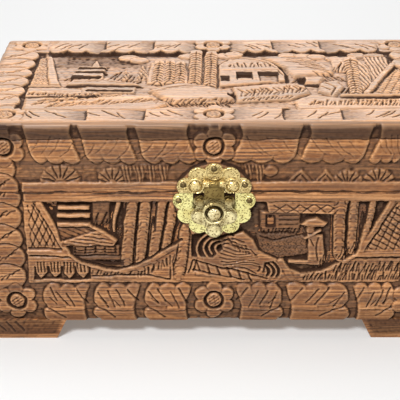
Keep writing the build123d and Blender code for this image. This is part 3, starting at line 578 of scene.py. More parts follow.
# %% Front panel, right garden
# The eddy, the hollows among the curls, the house's window and the gaps and slits between trunks are
# painted dark as shade.
slope = [(97, 66.8), (86, 59.8), (74, 53.0), (60, 51.0)]
hollow = patch((12, BAND_LOW), (0, 78), (30, 70), (46, 58), *slope[::-1], (117.5, BAND_LOW))
front.sink(hollow, PANEL_GROUND)
ridge = [(-13, 50), (-12, 64), (-6, 74), (6, 81), (19.5, 84.5), (27, 78), (31, 70), (43, 64)]
mound = patch(*ridge, (50, 50), (36, 46))
front.leave(mound, top=-0.8, crown=1.2)
for k in range(11):
    reach = chisel.uniform(3.6, 5.8)
    sweep = [
        (-4 + 1.3 * k + reach * s, 81 - 2.5 * k + 2.0 * math.sin(0.8 * s + 0.6 * k) - 0.6 * s)
        for s in range(6)
    ]
    front.groove(sweep, chisel.uniform(1.1, 1.8), chisel.uniform(0.9, 1.7))
eddy = patch((-15.5, 83), (-6, 84.5), (4, 80.5), (6, 71), (-1, 64.5), (-15.5, 66))
front.sink(eddy, PANEL_GROUND, dark=0.4)
front.curls((9.0, 71.5), (8.0, 12.0, 16.0, 20.5), 115, 215, 1.9)
front.waves((9.0, 71.5), (6.0, 10.0, 14.0), 60, 150)
front.sink(patch((34, 61), (43, 63), (47, 54), (43, 48.5), (35, 49.5)), 3.8, dark=0.4)
front.curls((29.0, 53.5), (6.5, 10.0, 13.5, 17.0), -40, 55, 1.8)
front.waves((26.0, 56.0), (5.0, 9.0), -50, 65)
front.grass((14, 72), (30, 66), 8.0, -0.6, 2.2)
front.groove([(-14, 63), (0, 58), (16, 54), (36, 48)], 2.2, 2.2)
front.groove([(-14, 55), (4, 51), (20, 47)], 1.9, 1.8)
for x in range(-12, 30, 7):
    front.groove([(x, 58 - 0.25 * x), (x + 2.5, 51.5 - 0.25 * x)], 2.0, 1.8)
front.leave(bar((45.5, 62), (53, 48), 5.0), top=-0.7, crown=0.9)
front.leave(sheet_of(30.5, 57.5, 84.5, 100.5), top=-2.4)
front.sink(sheet_of(34.5, 41.0, 88.5, 97.5), HOLE, dark=0.9)
front.score(sheet_of(43, 57, 85, 100), 90, 3.4, 1.3, 1.2)
front.leave(patch((34, BAND_LOW), (81, BAND_LOW), (80.5, 98), (37, 99.5)), top=-1.0)
for x in range(40, 78, 9):
    front.groove([(x, 105.5), (x + 8, 99.5)], 1.4, 1.1)
    front.groove([(x, 99.5), (x + 8, 105.5)], 1.4, 1.1)
bank = patch((28, 82), (46, 84), (62, 81), (64.5, 67), (45, 64), (32, 69.5))
front.leave(bank, top=-2.4)
front.peck(bank, 2.3, 1.0)
front.groove([(24, 83), (40, 77.5), (60, 83)], 1.8, 1.5)
front.leave(patch((63, 84), (73.5, 83), (76, 61.0), (64, 61.0)), top=-1.0, crown=1.0)
front.groove([(70.5, 81), (69, 72), (70.5, 62)], 1.6, 1.4)
front.groove([(65, 79), (67.5, 74)], 1.5, 1.3)
front.sink(oval((67, 91), 9.5, 6.5), 4.5)
front.leave(oval((65.0, 87.0), 3.4, 3.2), top=-1.6, crown=1.0)
brim = patch((57.5, 90.0), (62, 94.5), (69, 96.0), (77, 92.0), (74, 89.0), (66, 88.5))
front.leave(brim, top=-0.5, crown=1.2)
front.leave(bar((71.5, 86.5), (61.5, 80), 2.0), top=-0.8)
front.leave(bar((52, 61.5), (73, 60), 3.6), top=-1.2)
for a, b, wide in (
    ((84.5, 107.5), (85, 66), 9.0),
    ((93.5, 107.5), (92.5, 69.5), 6.4),
    ((105.5, 106), (100, 74), 5.0),
):
    front.trunk(a, b, wide)
front.sink(patch((97, BAND_LOW), (103, BAND_LOW), (100.5, 91.5)), HOLE, dark=0.9)
for a, b in (((89.5, 107), (89, 66)), ((98, 104), (96, 70)), ((79.5, 97), (80, 62))):
    front.groove([a, b], 2.0, 2.2, dark=0.7)
front.grass((72, 56), (100, 70), 12.0, 0.35, 1.9)
front.grass((30, 83), (58, 84), 4.0, 0.5, 2.0)
screen = patch((112, 97), (125.5, 106), (126, 70.5), (102, 70.5))
front.score(screen, 55, 3.8, 1.5, 1.3)
front.score(screen, -22, 5.2, 1.4, 1.2)
front.leave(bar((118, 107), (98.5, 68), 4.4), top=-0.4, crown=0.6)
front.groove([(122, 106.5), (103, 71.5)], 1.5, 1.3)
front.leave(bar((98, 67.2), (126.5, 68.2), 4.2), top=-0.4, crown=0.6)
for a, b in zip(slope, slope[1:]):
    front.leave(bar(a, b, 2.8), top=-0.5, crown=0.4)
front.groove([(96, 64), (127, 64.8)], 1.8, 1.9)
front.grass((62, 47), (127, 47.5), 7.0, 0.25, 1.8)
front.grass((82, 53), (127, 54.5), 8.0, 0.25, 1.9)
print("right garden cut")

# %% [markdown]
# The lid's front repeats the border upside down: the leaves hang from the top edge and reach
# over a narrow strip of shells, fans and hills above the plain band. The strip could be a
# painted texture, but its forms catch the light as the leaves do, so they are cut as well.

# %% Front of the lid
STRIP_LOW, STRIP_HIGH = 123.0, 137.5
LID_SCALES = (119.0, 132.0)
BROW_ROSETTE = SUMMIT - 17.5
brow.h[:] = -BORDER_GROUND
brow.leave(sheet_of(-PANEL_EDGE, PANEL_EDGE, STRIP_LOW, STRIP_HIGH), top=-3.0, crown=0.2)
for x, z, size in ((-101, 122, 13.5), (-67, 121.5, 11.5), (88, 120, 11.0), (108, 121, 11.0)):
    brow.leave(oval((x, z), size, size), top=-1.4, crown=0.9)
    for k in range(7):
        aim = math.radians(18 + 24 * k)
        path = [(x + f * size * math.cos(aim), z + f * size * math.sin(aim)) for f in (0.3, 0.95)]
        brow.groove(path, 1.5, 1.3)
brow.leave(patch((-88, 121), (-76, 121), (-78, 133), (-86, 134)), top=-2.0)
for x in (-57.0, -49.0, -41.5, -34.0, 22.0, 30.0):
    fan = patch((x - 4.5, 135), (x + 4.5, 135), (x + 2, 122), (x - 2, 122))
    brow.leave(fan, top=-1.8)
    brow.score(fan, 8, 2.4, 1.3, 1.3)
brow.leave(oval((37, 130), 4.5, 4.0), top=-1.2)
for x, wide in ((57.0, 11.0), (73.0, 8.0)):
    brow.leave(patch((x - wide, 122), (x, 131.5), (x + wide, 122)), top=-1.6)
    brow.score(patch((x - wide, 122), (x, 131.5), (x, 122)), 138, 3.0, 1.4, 1.2)
    brow.score(patch((x, 122), (x, 131.5), (x + wide, 122)), 42, 3.0, 1.4, 1.2)
for side in (-1, 1):
    scale_column(brow, side, LID_SCALES, COLUMN)
brow_left = ((16.5, 51.5), (55.0, 88.5), (92.0, 124.0))
brow_right = ((16.5, 57.5), (61.0, 102.5), (106.0, 127.0))
leaf_row(brow, SUMMIT, -1, brow_left, brow_right, LEAF_RISE, notch=0.0)
for place in (-ROSETTE_X, 0.0, ROSETTE_X):
    rosette(brow, (place, BROW_ROSETTE))
print("lid front cut, deepest", round(brow.h.min(), 2), "mm")

# %% [markdown]
# The two plain bands at the seam and the round seat of the hasp are left standing last, over
# both maps. Painted shadow is laid on by place under the hasp and round its seat, and painted
# shade over the shells under the leaves and towards the foot. The gardens are darkened a
# little. The joints of the base and of the top are fine cuts.

# %% Bands, hasp seat, joints and painted shade of the front
BAND_HIGH, BROW_LOW = 125.0, 110.0
HASP = (0.0, CASE_TOP - 5.5)
HASP_SEAT, HASP_SHADE = 26.0, 16.0
# Painted shadow under the hasp and round its seat; painted shade over the shells and towards the foot;
# the gardens darken a little.
HASP_SHADOW, SEAT_SHADOW = 0.9, 0.35
PANEL_DARKENING, STRIP_SHADE, FOOT_BORDER_SHADE = 0.04, 0.28, 0.22
BAND_TINT = 0.9
SEAM_CUT = 0.9
front.leave(sheet_of(-PANEL_EDGE + 1, PANEL_EDGE - 1, BAND_LOW, BAND_HIGH), top=-0.15, crown=0.8)
front.tint[(np.abs(front.U) < PANEL_EDGE) & (front.V > BAND_LOW)] = BAND_TINT
brow.leave(sheet_of(-PANEL_EDGE + 1, PANEL_EDGE - 1, BROW_LOW, STRIP_LOW), top=-0.3, crown=0.6)
for carving in (front, brow):
    carving.leave(oval(HASP, HASP_SEAT, HASP_SEAT), top=0.0, crown=0.1, edge=0.4)
    from_middle = np.hypot(carving.U - HASP[0], carving.V - HASP[1])
    carving.shade_and_grime[from_middle < HASP_SHADE] = HASP_SHADOW
    carving.shade_and_grime[(from_middle > HASP_SHADE) & (from_middle < HASP_SEAT + 1.5)] = SEAT_SHADOW
front.groove([(-HALF_WIDTH, base_high[2]), (HALF_WIDTH, base_high[2])], SEAM_CUT, SEAM_CUT)
gardens = (np.abs(front.U) < PANEL_EDGE) & (front.V > PANEL_LOW) & (front.V < BAND_LOW)
front.shade_and_grime[gardens] += PANEL_DARKENING
near_foot = np.clip((base_high[2] + 3 - front.V) / 5, 0, 1)
front.shade_and_grime = np.maximum(front.shade_and_grime, FOOT_BORDER_SHADE * near_foot)
brow.groove([(-HALF_WIDTH, top_low[2]), (HALF_WIDTH, top_low[2])], SEAM_CUT, SEAM_CUT)
shells = (np.abs(brow.U) < PANEL_EDGE) & (brow.V > STRIP_LOW) & (brow.V < STRIP_HIGH)
brow.shade_and_grime[shells & (brow.h < -1.0) & (brow.h > -BORDER_GROUND)] += STRIP_SHADE
print("dirt laid on", round(100 * np.mean(front.shade_and_grime > 0)), "% of the front")

# %% [markdown]
# The lid's top is the largest picture, in a border of broad leaves that lie along the edge.
# Each climbs from a low root and its free end laps over the next root, so a leaf is a slope in
# the height map and not a flat shape. Each root is painted dark as shade under the free end
# that laps it. Behind the border the ground drops into slots at the back and at both ends,
# painted dark as shadow, and the scalloped rims show against them.

# %% Top of the lid, border
TOP_BORDER = 26.0
TOP_GROUND = 2.6
SLOT, END_SLOT = 4.3, 3.2
PANEL_Y = FRONT - TOP_BORDER
crown.h[:] = -1.2
crown.sink(sheet_of(-PANEL_EDGE, PANEL_EDGE, -PANEL_Y, PANEL_Y), TOP_GROUND)
back_shade = sheet_of(-PANEL_EDGE + 6, PANEL_EDGE - 4, PANEL_Y - 8.0, PANEL_Y + 6)
crown.sink(back_shade, SLOT, slope=3.0, dark=0.85)
for side in (-1, 1):
    ends = sorted(side * (PANEL_EDGE + d) for d in (-4.0, 5.0))
    crown.sink(sheet_of(*ends, -PANEL_Y, PANEL_Y), END_SLOT, slope=1.0, dark=0.42)


def lapped_leaf(carving, root, tip, edge, inward, rise, scallop):
    """A broad leaf along the edge: it climbs from its root and its free end laps the next one."""
    way = 1 if tip > root else -1
    length = abs(tip - root)
    far = edge + inward * (rise + 2)
    w = carving.window([(root - 3, edge), (root + 3, edge), (tip - 3, edge), (tip + 3, far)], 3.0)
    x = (carving.U[w] - root) * way / length
    y = (carving.V[w] - edge) * inward
    lobe = (3 * np.clip(x, 0, 0.999)) % 1
    rim = rise - scallop * (2 * lobe - 1) ** 2 - 2.0 * np.clip((0.25 - x) / 0.25, 0, 1)
    bulge = np.sqrt(np.clip(1 - ((y - 0.64 * rise) / (0.5 * rise)) ** 2, 0, 1))
    d = np.maximum(np.maximum((x - 0.64 - 0.36 * bulge) * length, y - rim), -x * length)
    climb = 1.5 * (1 - np.clip(x / 0.6, 0, 1)) ** 1.3
    worn = 0.4 * np.clip(1 - y / 7.0, 0, 1)
    eased = 0.7 * np.clip(1 + d / 3.0, 0, 1) ** 2
    kept = np.clip(0.5 - d / 0.8, 0, 1)
    carving.h[w] += (-0.15 - climb - worn - eased - carving.h[w]) * kept
    carving.tint[w] += (chisel.uniform(0.2, 1) - carving.tint[w]) * kept
    carving.shade_and_grime[w] *= kept < 0.9
    # The root, under the free end that laps it, is painted dark as shade.
    carving.shade_and_grime[w] = np.maximum(carving.shade_and_grime[w], 0.38 * kept * (1 - np.clip(x / 0.42, 0, 1)))
    for start in (0.92, 0.78, 0.62, 0.46):
        x0 = start + chisel.uniform(-0.05, 0.05)
        y0 = chisel.uniform(0.62, 0.8) * rise
        x1, y1 = x0 - chisel.uniform(0.12, 0.24), y0 - chisel.uniform(0.2, 0.36) * rise
        places = ((x0, y0), ((x0 + x1) / 2 + 0.02, (y0 + y1) / 2), (x1, y1))
        path = [(root + way * length * x, edge + inward * y) for x, y in places]
        carving.groove(path, chisel.uniform(1.1, 1.6), chisel.uniform(0.9, 1.4), dark=0.4)


for side in (-1, 1):
    for root, tip in ((10, 53), (45, 91), (83, 130)):
        lapped_leaf(crown, side * root, side * tip, -FRONT, 1, 27.5, 2.0)
    for root, tip in ((12, 52), (44, 88), (80, 123)):
        lapped_leaf(crown, side * root, side * tip, FRONT, -1, 29.5, 5.5)
    scale_column(crown, side, (-40.0, -23.0, -6.0, 11.0, 28.0, 45.0), COLUMN)
for x in (-ROSETTE_X, 0.0, ROSETTE_X):
    for y in (-FRONT + 17.0, FRONT - 12.5):
        rosette(crown, (x, y))
print("lid border cut")

# %% [markdown]
# On the left of the picture stand a stippled slope with a tower, a pavilion in three storeys
# over a hipped roof, two pines, a railing and a bank of grass. Small rounded clumps fill the
# far edge. What lies in front is drawn later, so it covers what lies behind.

# %% Top of the lid, left of the picture
# The sunk sky by the pavilion, the pavilion's slots and the slots under the banks are painted dark as
# shade.
crown.sink(sheet_of(-114, -48, 24, 52), 3.4, slope=8.0, dark=0.3)
clumps = ((-62, 43), (-54, 38), (-18, 46), (8, 47), (15, 49), (55, 47))
clumps += ((66, 46), (76, 44), (90, 40), (106, 47), (118, 46))
for x, y in clumps:
    crown.leave(oval((x, y), 7.5, 5.5), top=-1.3, crown=0.9)
    crown.curls((x, y - 2), (2.4, 4.8, 7.0), 10, 175, 1.3)
stippled = patch((-127, 42), (-122.5, 43.5), (-114, -11.5), (-127.5, -12.5))
crown.leave(stippled, top=-1.5)
crown.peck(stippled, 2.6, 1.3)
tower = patch((-122.5, 43.5), (-118.5, 43.5), (-106.5, -11.5), (-114, -11.5))
crown.leave(tower, top=-0.6, crown=0.5)
crown.leave(bar((-127.5, -13.5), (-106.5, -13.0), 2.0), top=-0.6)
crown.leave(patch((-128, -16), (-104, -15.5), (-79, -22), (-79, -29), (-128, -31)), top=-1.2)
for k in range(14):
    crown.curls((-125 + 3.5 * k, -23 - 0.35 * k), (2.4,), -30, 200, 1.1)
    crown.grass((-126.5 + 3.5 * k, -28 - 0.2 * k), (-124 + 3.5 * k, -28 - 0.2 * k), 4.5, 0.2, 1.2)
crown.sink(bar((-126.5, -32.5), (-81, -30.0), 2.8), SLOT, dark=0.95)
bank_top = [(-128, -34), (-81, -31.5), (-68, -26.5), (-44, -30), (-28, -43)]
near_ground = patch(*bank_top, (-40, -56), (-128, -56))
crown.leave(near_ground, top=-0.8, crown=1.5)
crown.grass((-122, -47), (-62, -31), 7.0, 0.9, 2.3)
crown.grass((-118, -42), (-76, -33), 6.0, 1.1, 2.6)
crown.grass((-112, -51), (-36, -41), 8.0, 0.8, 2.2)
crown.leave(patch((-88, 22.5), (-85, 38.5), (-80, 22)), top=-0.9)
pagoda = patch((-97, 23), (-76.5, 23), (-78, 1), (-101, 1))
crown.leave(pagoda, top=-0.6, crown=0.5)
for a, b in (((-96, 19), (-77.5, 18.7)), ((-98, 11.7), (-76.5, 11.5)), ((-99.5, 3.2), (-81, 3.0))):
    crown.sink(bar(a, b, 3.4), SLOT, slope=0.5, dark=1.0)
hip = patch((-103, -13), (-98.5, -3), (-77, 2), (-49, -13.5))
crown.leave(hip, top=-0.6, crown=0.7)
crown.groove([(-103, -13), (-85, -12), (-50, -14)], 2.6, 2.6, dark=0.8)
crown.groove([(-97, -7), (-78, -4.5), (-62, -9)], 1.1, 0.8)
crown.leave(patch((-92, -15), (-54, -15), (-54, -25), (-90, -25)), top=-1.3)
crown.sink(bar((-86, -21.5), (-57, -22), 3.2), SLOT, dark=0.95)
for corners in (((-65, -0.5), (-62.5, 22), (-57.5, -2)), ((-54.5, -2), (-51, 29.5), (-44, 3.5))):
    pine = patch(*corners)
    crown.leave(pine, top=-1.2)
    crown.score(pine, 20, 2.8, 1.4, 1.3)
    crown.score(pine, -35, 3.4, 1.3, 1.1)
crown.grass((-104, 0), (-50, -6), 5.0, 0.5, 4.3)
crown.grass((-74, 2), (-48, -4), 16.0, 0.3, 3.4)
print("left of the lid picture cut")

# %% [markdown]
# In the middle five trees stand like upright feathers behind a round hill. Beside them is an
# arched gatehouse with windows, and a fence of slanting strokes runs before it. The windows,
# the arch's groove and a hole by the hill are painted dark as shade. Trees as separate meshes
# would float; as strokes in the map they stay joined to the ground.

# %% Top of the lid, middle of the picture
grove = patch((-45, 33), (-20, 33), (-18, -8), (-47, -8))
crown.leave(grove, top=-1.4)
for a, b in (((-39, 33), (-39.5, -6)), ((-31, 34), (-30.5, -5)), ((-23.5, 31), (-24, -6))):
    crown.feather(a, b, 7.4)
crown.feather((-12.0, 53), (-13.5, -9), 9.0)
crown.feather((-1.5, 51), (-2.5, -14), 9.0)
hill_top = [(-46, -22), (-34, -12), (-24.5, -7.5), (-6, -11), (6, -20), (14, -29)]
hill = patch(*hill_top, (13, -38), (-6, -42), (-28, -44))
crown.leave(hill, top=-0.4, crown=1.9)
crown.groove([(-40, -24), (-26, -18), (-14, -17)], 1.1, 0.7)
crown.grass((-38, -44), (12, -42), 6.5, 0.8, 2.0)
crown.grass((-30, -47), (12, -46), 6.0, -0.6, 2.4)
crown.groove([(-36, -20), (-20, -14), (-4, -16), (6, -25)], 1.3, 0.8, dark=0.15)
crown.curls((-2, -44), (3.0, 5.5), 20, 170)
crown.sink(oval((13.5, -29.5), 4.2, 4.6), SLOT, dark=0.95)
arch = [(4, 28), (12, 39.5), (21.5, 43), (31.5, 40), (41, 34), (47.5, 23), (51.5, 9), (51, -4)]
gatehouse = patch(*arch, (4, -14))
crown.leave(gatehouse, top=-0.9, crown=0.5)
crown.groove(arch, 3.4, 2.8, dark=1.0)
crown.groove([(x + (2.0 if x < 20 else -2.6), y - 3.4) for x, y in arch[1:-1]], 1.2, 1.3)
crown.grass((12, 22), (42, 22), 9.0, 0.0, 2.9)
crown.leave(sheet_of(6, 47, 15.0, 19.5), top=-0.5, crown=0.5)
rooms = (
    (5, 11, -5, 4.5, 3.4, 0.6),
    (16, 27, 0, 12, SLOT, 0.95),
    (31.5, 46, -5.5, 7, 2.4, 0.1),
    (31.5, 46, 6.5, 12, SLOT, 0.95),
)
for left, right, low, high, depth, dark in rooms:
    crown.sink(sheet_of(left, right, low, high), depth, dark=dark)
crown.leave(sheet_of(16, 27, -3.0, 3.0), top=-1.8)
fence = patch((13, -16), (42.5, -10), (62.5, -12.5), (66, -27), (52.5, -38), (15, -42))
crown.leave(fence, top=-0.6, crown=1.2)
crown.grass((18, -33), (63, -26), 13.0, 0.35, 2.9)
crown.grass((22, -27), (62, -20), 6.0, -0.7, 3.6)
crown.grass((20, -40), (52, -36), 4.0, 0.6, 2.6)
print("middle of the lid picture cut")

# %% [markdown]
# On the right a far hill falls to boulders, and a fan of leaves, a lattice and a slanting beam
# close the picture. The holes between the boulders and the slot under the beam go down to the
# slot's depth and are painted dark as shade, because on the real lid they are the darkest
# places; the furrows of the far hill get a little of it.

# %% Top of the lid, right of the picture
far_hill = patch((34, 42), (45.5, 44), (70.5, 41), (88, 17), (84, 8), (56, 3), (51, 20))
crown.leave(far_hill, top=-0.5, crown=1.8)
crown.groove([(52, 32), (66, 30), (80, 18)], 1.1, 0.8)
crown.groove([(60, 20), (72, 18), (82, 10)], 1.1, 0.8)
for k in range(6):
    furrow = [(50 + 4 * k, 40 - 4.5 * k), (62 + 3 * k, 38 - 5 * k), (74 + 2 * k, 31 - 4.5 * k)]
    crown.groove(furrow, 1.4, 1.0, dark=0.2)
boulder = patch((61.5, 2.5), (76, 5), (78, -0.5), (72, -11.5), (62.5, -8.5))
crown.leave(boulder, top=-0.5, crown=1.6)
crown.sink(oval((61.0, -3.0), 3.0, 6.0), SLOT, dark=0.95)
crown.sink(bar((64, -11.0), (75, -13.0), 3.0), SLOT, dark=0.95)
crown.leave(patch((73, -8.5), (87, -3.5), (91, -17), (82, -35), (71, -24)), top=-0.6, crown=1.6)
crown.groove([(78, -10), (84, -18), (80, -30)], 1.5, 1.6)
crown.groove([(74, -16), (80, -22)], 1.4, 1.4)
crown.leave(patch((84, 44), (100, 44), (97, 14), (88, 14)), top=-1.4)
crown.grass((85, 14), (97, 16), 20.0, 0.3, 2.2)
crown.grass((80, -2), (95, -2), 14.0, -0.5, 2.6)
crown.grass((88, -24), (96, -22), 16.0, 0.2, 2.4)
crown.grass((54, -6), (62, -6), 9.0, 0.4, 2.6)
fan = patch((104.5, 38), (111, 26), (110.5, -9), (99, -27))
crown.leave(fan, top=-1.0)
crown.score(fan, 14, 2.9, 1.4, 1.4)
crown.feather((100.5, 38), (97, -27), 9.0)
far_lattice = patch((110, 44), (127, 44), (127, 24), (112, -6))
crown.leave(far_lattice, top=-1.5)
crown.score(far_lattice, 6, 2.8, 1.4, 1.3)
stripes = patch((109, -26.5), (130, 19), (134, 16), (127.5, -27.5))
crown.leave(stripes, top=-1.3)
crown.score(stripes, 62, 3.6, 1.8, 1.5)
crown.score(stripes, -20, 5.2, 1.4, 1.0)
slant = bar((104, -27.5), (129, 26), 4.6)
crown.leave(slant, top=-0.4, crown=0.5)
crown.leave(bar((88, -30.5), (127, -30.0), 3.0), top=-0.6)
crown.sink(bar((88.5, -34.0), (128, -33.4), 3.0), SLOT, dark=0.95)
near_slope = patch((54, -39), (66, -29), (90, -36), (128, -36), (128, -56), (54, -56))
crown.leave(near_slope, top=-0.8, crown=1.4)
crown.grass((64, -48), (126, -49), 9.0, 0.4, 2.1)
crown.grass((92, -42), (126, -42), 4.5, 0.3, 1.7)
print("lid picture cut, deepest", round(crown.h.min(), 2), "mm")

# %% [markdown]
# The photograph hides the two sides. Such boxes carry the same border round a smaller garden,
# so one function for the case side and one for the lid side serve both ends.

# %% Sides
left_way = ((0, -1, 0), (0, 0, 1), (-1, 0, 0))
right_way = ((0, 1, 0), (0, 0, 1), (1, 0, 0))
SIDE_PANEL = FRONT - 23.0
SIDE_COLUMN = 24.5
SIDE_ROSETTES = (13.5 - FRONT, 0.0, FRONT - 13.5)


def case_side(way):
    """The carved side of the case."""
    c = Carving(*way, HALF_WIDTH, (-FRONT, FRONT), (base_low[2], CASE_TOP))
    c.h[:] = -BORDER_GROUND
    c.sink(sheet_of(-SIDE_PANEL, SIDE_PANEL, PANEL_LOW, BAND_LOW), PANEL_GROUND)
    for side in (-1, 1):
        scale_column(c, side, CASE_SCALES, SIDE_COLUMN)
    leaf_row(c, base_low[2], 1, ((17.0, 53.5),), ((17.0, 53.5),), LEAF_RISE)
    for u in SIDE_ROSETTES:
        rosette(c, (u, BASE_ROSETTE))
    bank = patch((-52, 50), (-40, 62), (-8, 66), (30, 60), (54, 50), (54, 47), (-52, 47))
    c.leave(bank, top=-1.1)
    c.score(bank, 70, 3.6, 1.3, 1.2)
    c.leave(patch((-30, 82), (-22, 92), (22, 92), (30, 82)), top=-0.6)
    c.score(patch((-29, 82), (-22, 91), (22, 91), (29, 82)), 0, 3.0, 1.2, 1.1)
    gable = patch((-17, 96), (0, 105), (17, 96))
    c.leave(gable, top=-0.6)
    c.score(gable, 90, 2.4, 1.1, 1.0)
    c.leave(sheet_of(-21, 21, 64, 82), top=-1.6)
    # The two openings of the house are painted dark as shade.
    for u in (-11.0, 2.0):
        c.sink(sheet_of(u, u + 9, 66, 79), HOLE, dark=0.9)
    c.score(sheet_of(-21, -12.5, 65, 81), 90, 2.6, 1.0, 0.9)
    c.score(sheet_of(12.5, 21, 65, 81), 90, 2.6, 1.0, 0.9)
    for a, b in (
        ((-34, 106), (-38, 60)),
        ((-46, 106), (-47, 56)),
        ((38, 106), (36, 60)),
        ((47, 104), (48, 56)),
    ):
        c.trunk(a, b, 6.4)
    c.leave(sheet_of(-SIDE_PANEL + 1, SIDE_PANEL - 1, BAND_LOW, BAND_HIGH), top=-0.15, crown=0.8)
    soft_edges(c, True, False)
    return c


def lid_side(way):
    """The carved side of the lid."""
    c = Carving(*way, HALF_WIDTH, (-FRONT, FRONT), (LID_FOOT, SUMMIT))
    c.h[:] = -BORDER_GROUND
    c.leave(sheet_of(-SIDE_PANEL, SIDE_PANEL, STRIP_LOW, STRIP_HIGH), top=-3.0, crown=0.2)
    for u in (-44.0, -26.0, -8.0, 10.0, 28.0, 46.0):
        c.leave(oval((u, STRIP_LOW), 8.4, 10.0), top=-1.2)
        for k in range(5):
            aim = math.radians(30 + 30 * k)
            rib = [(u + f * math.cos(aim), STRIP_LOW + f * math.sin(aim)) for f in (3.0, 8.5)]
            c.groove(rib, 1.5, 1.3)
    for side in (-1, 1):
        scale_column(c, side, LID_SCALES, SIDE_COLUMN)
    leaf_row(c, SUMMIT, -1, ((16.0, 53.5),), ((16.0, 53.5),), 29.0, notch=0.0)
    for u in SIDE_ROSETTES:
        rosette(c, (u, BROW_ROSETTE))
    c.leave(sheet_of(-SIDE_PANEL + 1, SIDE_PANEL - 1, BROW_LOW, STRIP_LOW), top=-0.3, crown=0.6)
    soft_edges(c, True, True)
    return c


left_case, right_case = case_side(left_way), case_side(right_way)
left_lid, right_lid = lid_side(left_way), lid_side(right_way)
print("sides cut")

# %% [markdown]
# With all carving in place the outer edges are softened, most along the lid's top, which is
# rolled over. Dirt sits in the joint between case and lid, and the edge of the lid's top is
# darkened.

# %% Soft edges and seam dirt
SEAM_BAND, SEAM_DIRT, TOP_EDGE_DARKENING = 0.7, 0.8, 0.4
soft_edges(front, True, False)
soft_edges(brow, True, True, band=5.0)
front.shade_and_grime[front.V > CASE_TOP - SEAM_BAND] = SEAM_DIRT
brow.shade_and_grime[brow.V < LID_FOOT + SEAM_BAND] = SEAM_DIRT
brow.shade_and_grime = np.maximum(brow.shade_and_grime, TOP_EDGE_DARKENING * np.clip((brow.V - top_low[2] + 1) / 2, 0, 1))
soft_edges(crown, True, True, True, band=9.0)
print("edges softened")

# %% [markdown]
# Each corner stands on two mitred wings. The carver ran a few slanting cuts over the corner
# end of each wing and left the rest plain, so a wing has a small height map of its own.

# %% Feet
FOOT_LENGTH = np.ptp(box_mm("foot_front_left_face"), axis=0)[0]
FOOT_HEIGHT = base_low[2]
FOOT_GROUND, FOOT_SHADE = 0.5, 0.46
back_way = ((-1, 0, 0), (0, 0, 1), (0, 1, 0))
wing_maps = {}
for row, y_side in (("front", -1), ("back", 1)):
    for end, x_side in (("left", -1), ("right", 1)):
        for wing in ("face", "return"):
            if wing == "face":
                way, level = (front_way if row == "front" else back_way), FRONT
            else:
                way, level = (left_way if end == "left" else right_way), HALF_WIDTH
            corner = x_side * HALF_WIDTH * way[0][0] + y_side * FRONT * way[0][1]
            inward = -np.sign(corner)
            span = sorted((corner, corner + inward * FOOT_LENGTH))
            c = Carving(*way, level, span, (0.0, FOOT_HEIGHT))
            c.h[:] = -FOOT_GROUND
            # Painted shade: the feet are darker all over, low down by the floor.
            c.shade_and_grime[:] = FOOT_SHADE
            c.leave(oval((corner, 4.0), 5.5, 6.0), top=-0.1, crown=0.8)
            for start in (3.0, 10.5, 17.5):
                a = (corner + inward * start, FOOT_HEIGHT - 1.5)
                b = (corner + inward * (start + 7.5), FOOT_HEIGHT - 9.0 + chisel.uniform(-1, 1))
                c.groove([a, b], 1.6, 1.3)
            soft_edges(c, True, False, True)
            c.corner, c.inward = corner, inward
            wing_maps[f"foot_{row}_{end}_{wing}"] = c
carvings = (front, brow, crown, left_case, right_case, left_lid, right_lid, *wing_maps.values())
print("foot wings cut", len(wing_maps))

# %% [markdown]
# Two helpers come first. One gives the mean of a map over a reach, to tell a hollow from a
# crest. The other gives smooth chance, because a hand never cuts quite straight.

# %% Means and chance on a map
def blurred(field, reach):
    """The mean of a map over a reach in millimetres."""
    n = max(1, round(reach / CUT_STEP))
    for axis in (0, 1, 0, 1):
        grown = np.pad(field, [(n + 1, n) if a == axis else (0, 0) for a in (0, 1)], mode="edge")
        total = np.cumsum(grown, axis=axis)
        high = np.take(total, range(2 * n + 1, total.shape[axis]), axis=axis)
        low = np.take(total, range(0, total.shape[axis] - 2 * n - 1), axis=axis)
        field = (high - low) / (2 * n + 1)
    return field


def waver(carving, reach):
    """Smooth chance over a map, with a spread of one."""
    field = blurred(chisel.normal(size=carving.h.shape), reach)
    return field / field.std()


print("faces to mark", len(carvings))

# %% [markdown]
# Old carving is stained dark in its cuts. Three layers are worked out from each height map for
# the finish to read: how deep a place is, for the stain; how hollow it is against what is round
# it, for painted shade in pockets, slits and steep walls, added to the shade, joints and
# darkening laid on by place; and how much it stands up as a crest, for edges painted pale,
# partly as wear and partly as a painted highlight. A fourth keeps the slightly different tone
# of each leaf. The lid keeps less of the painted shade and stain than the case. The ground gets
# the facets that a gouge leaves.

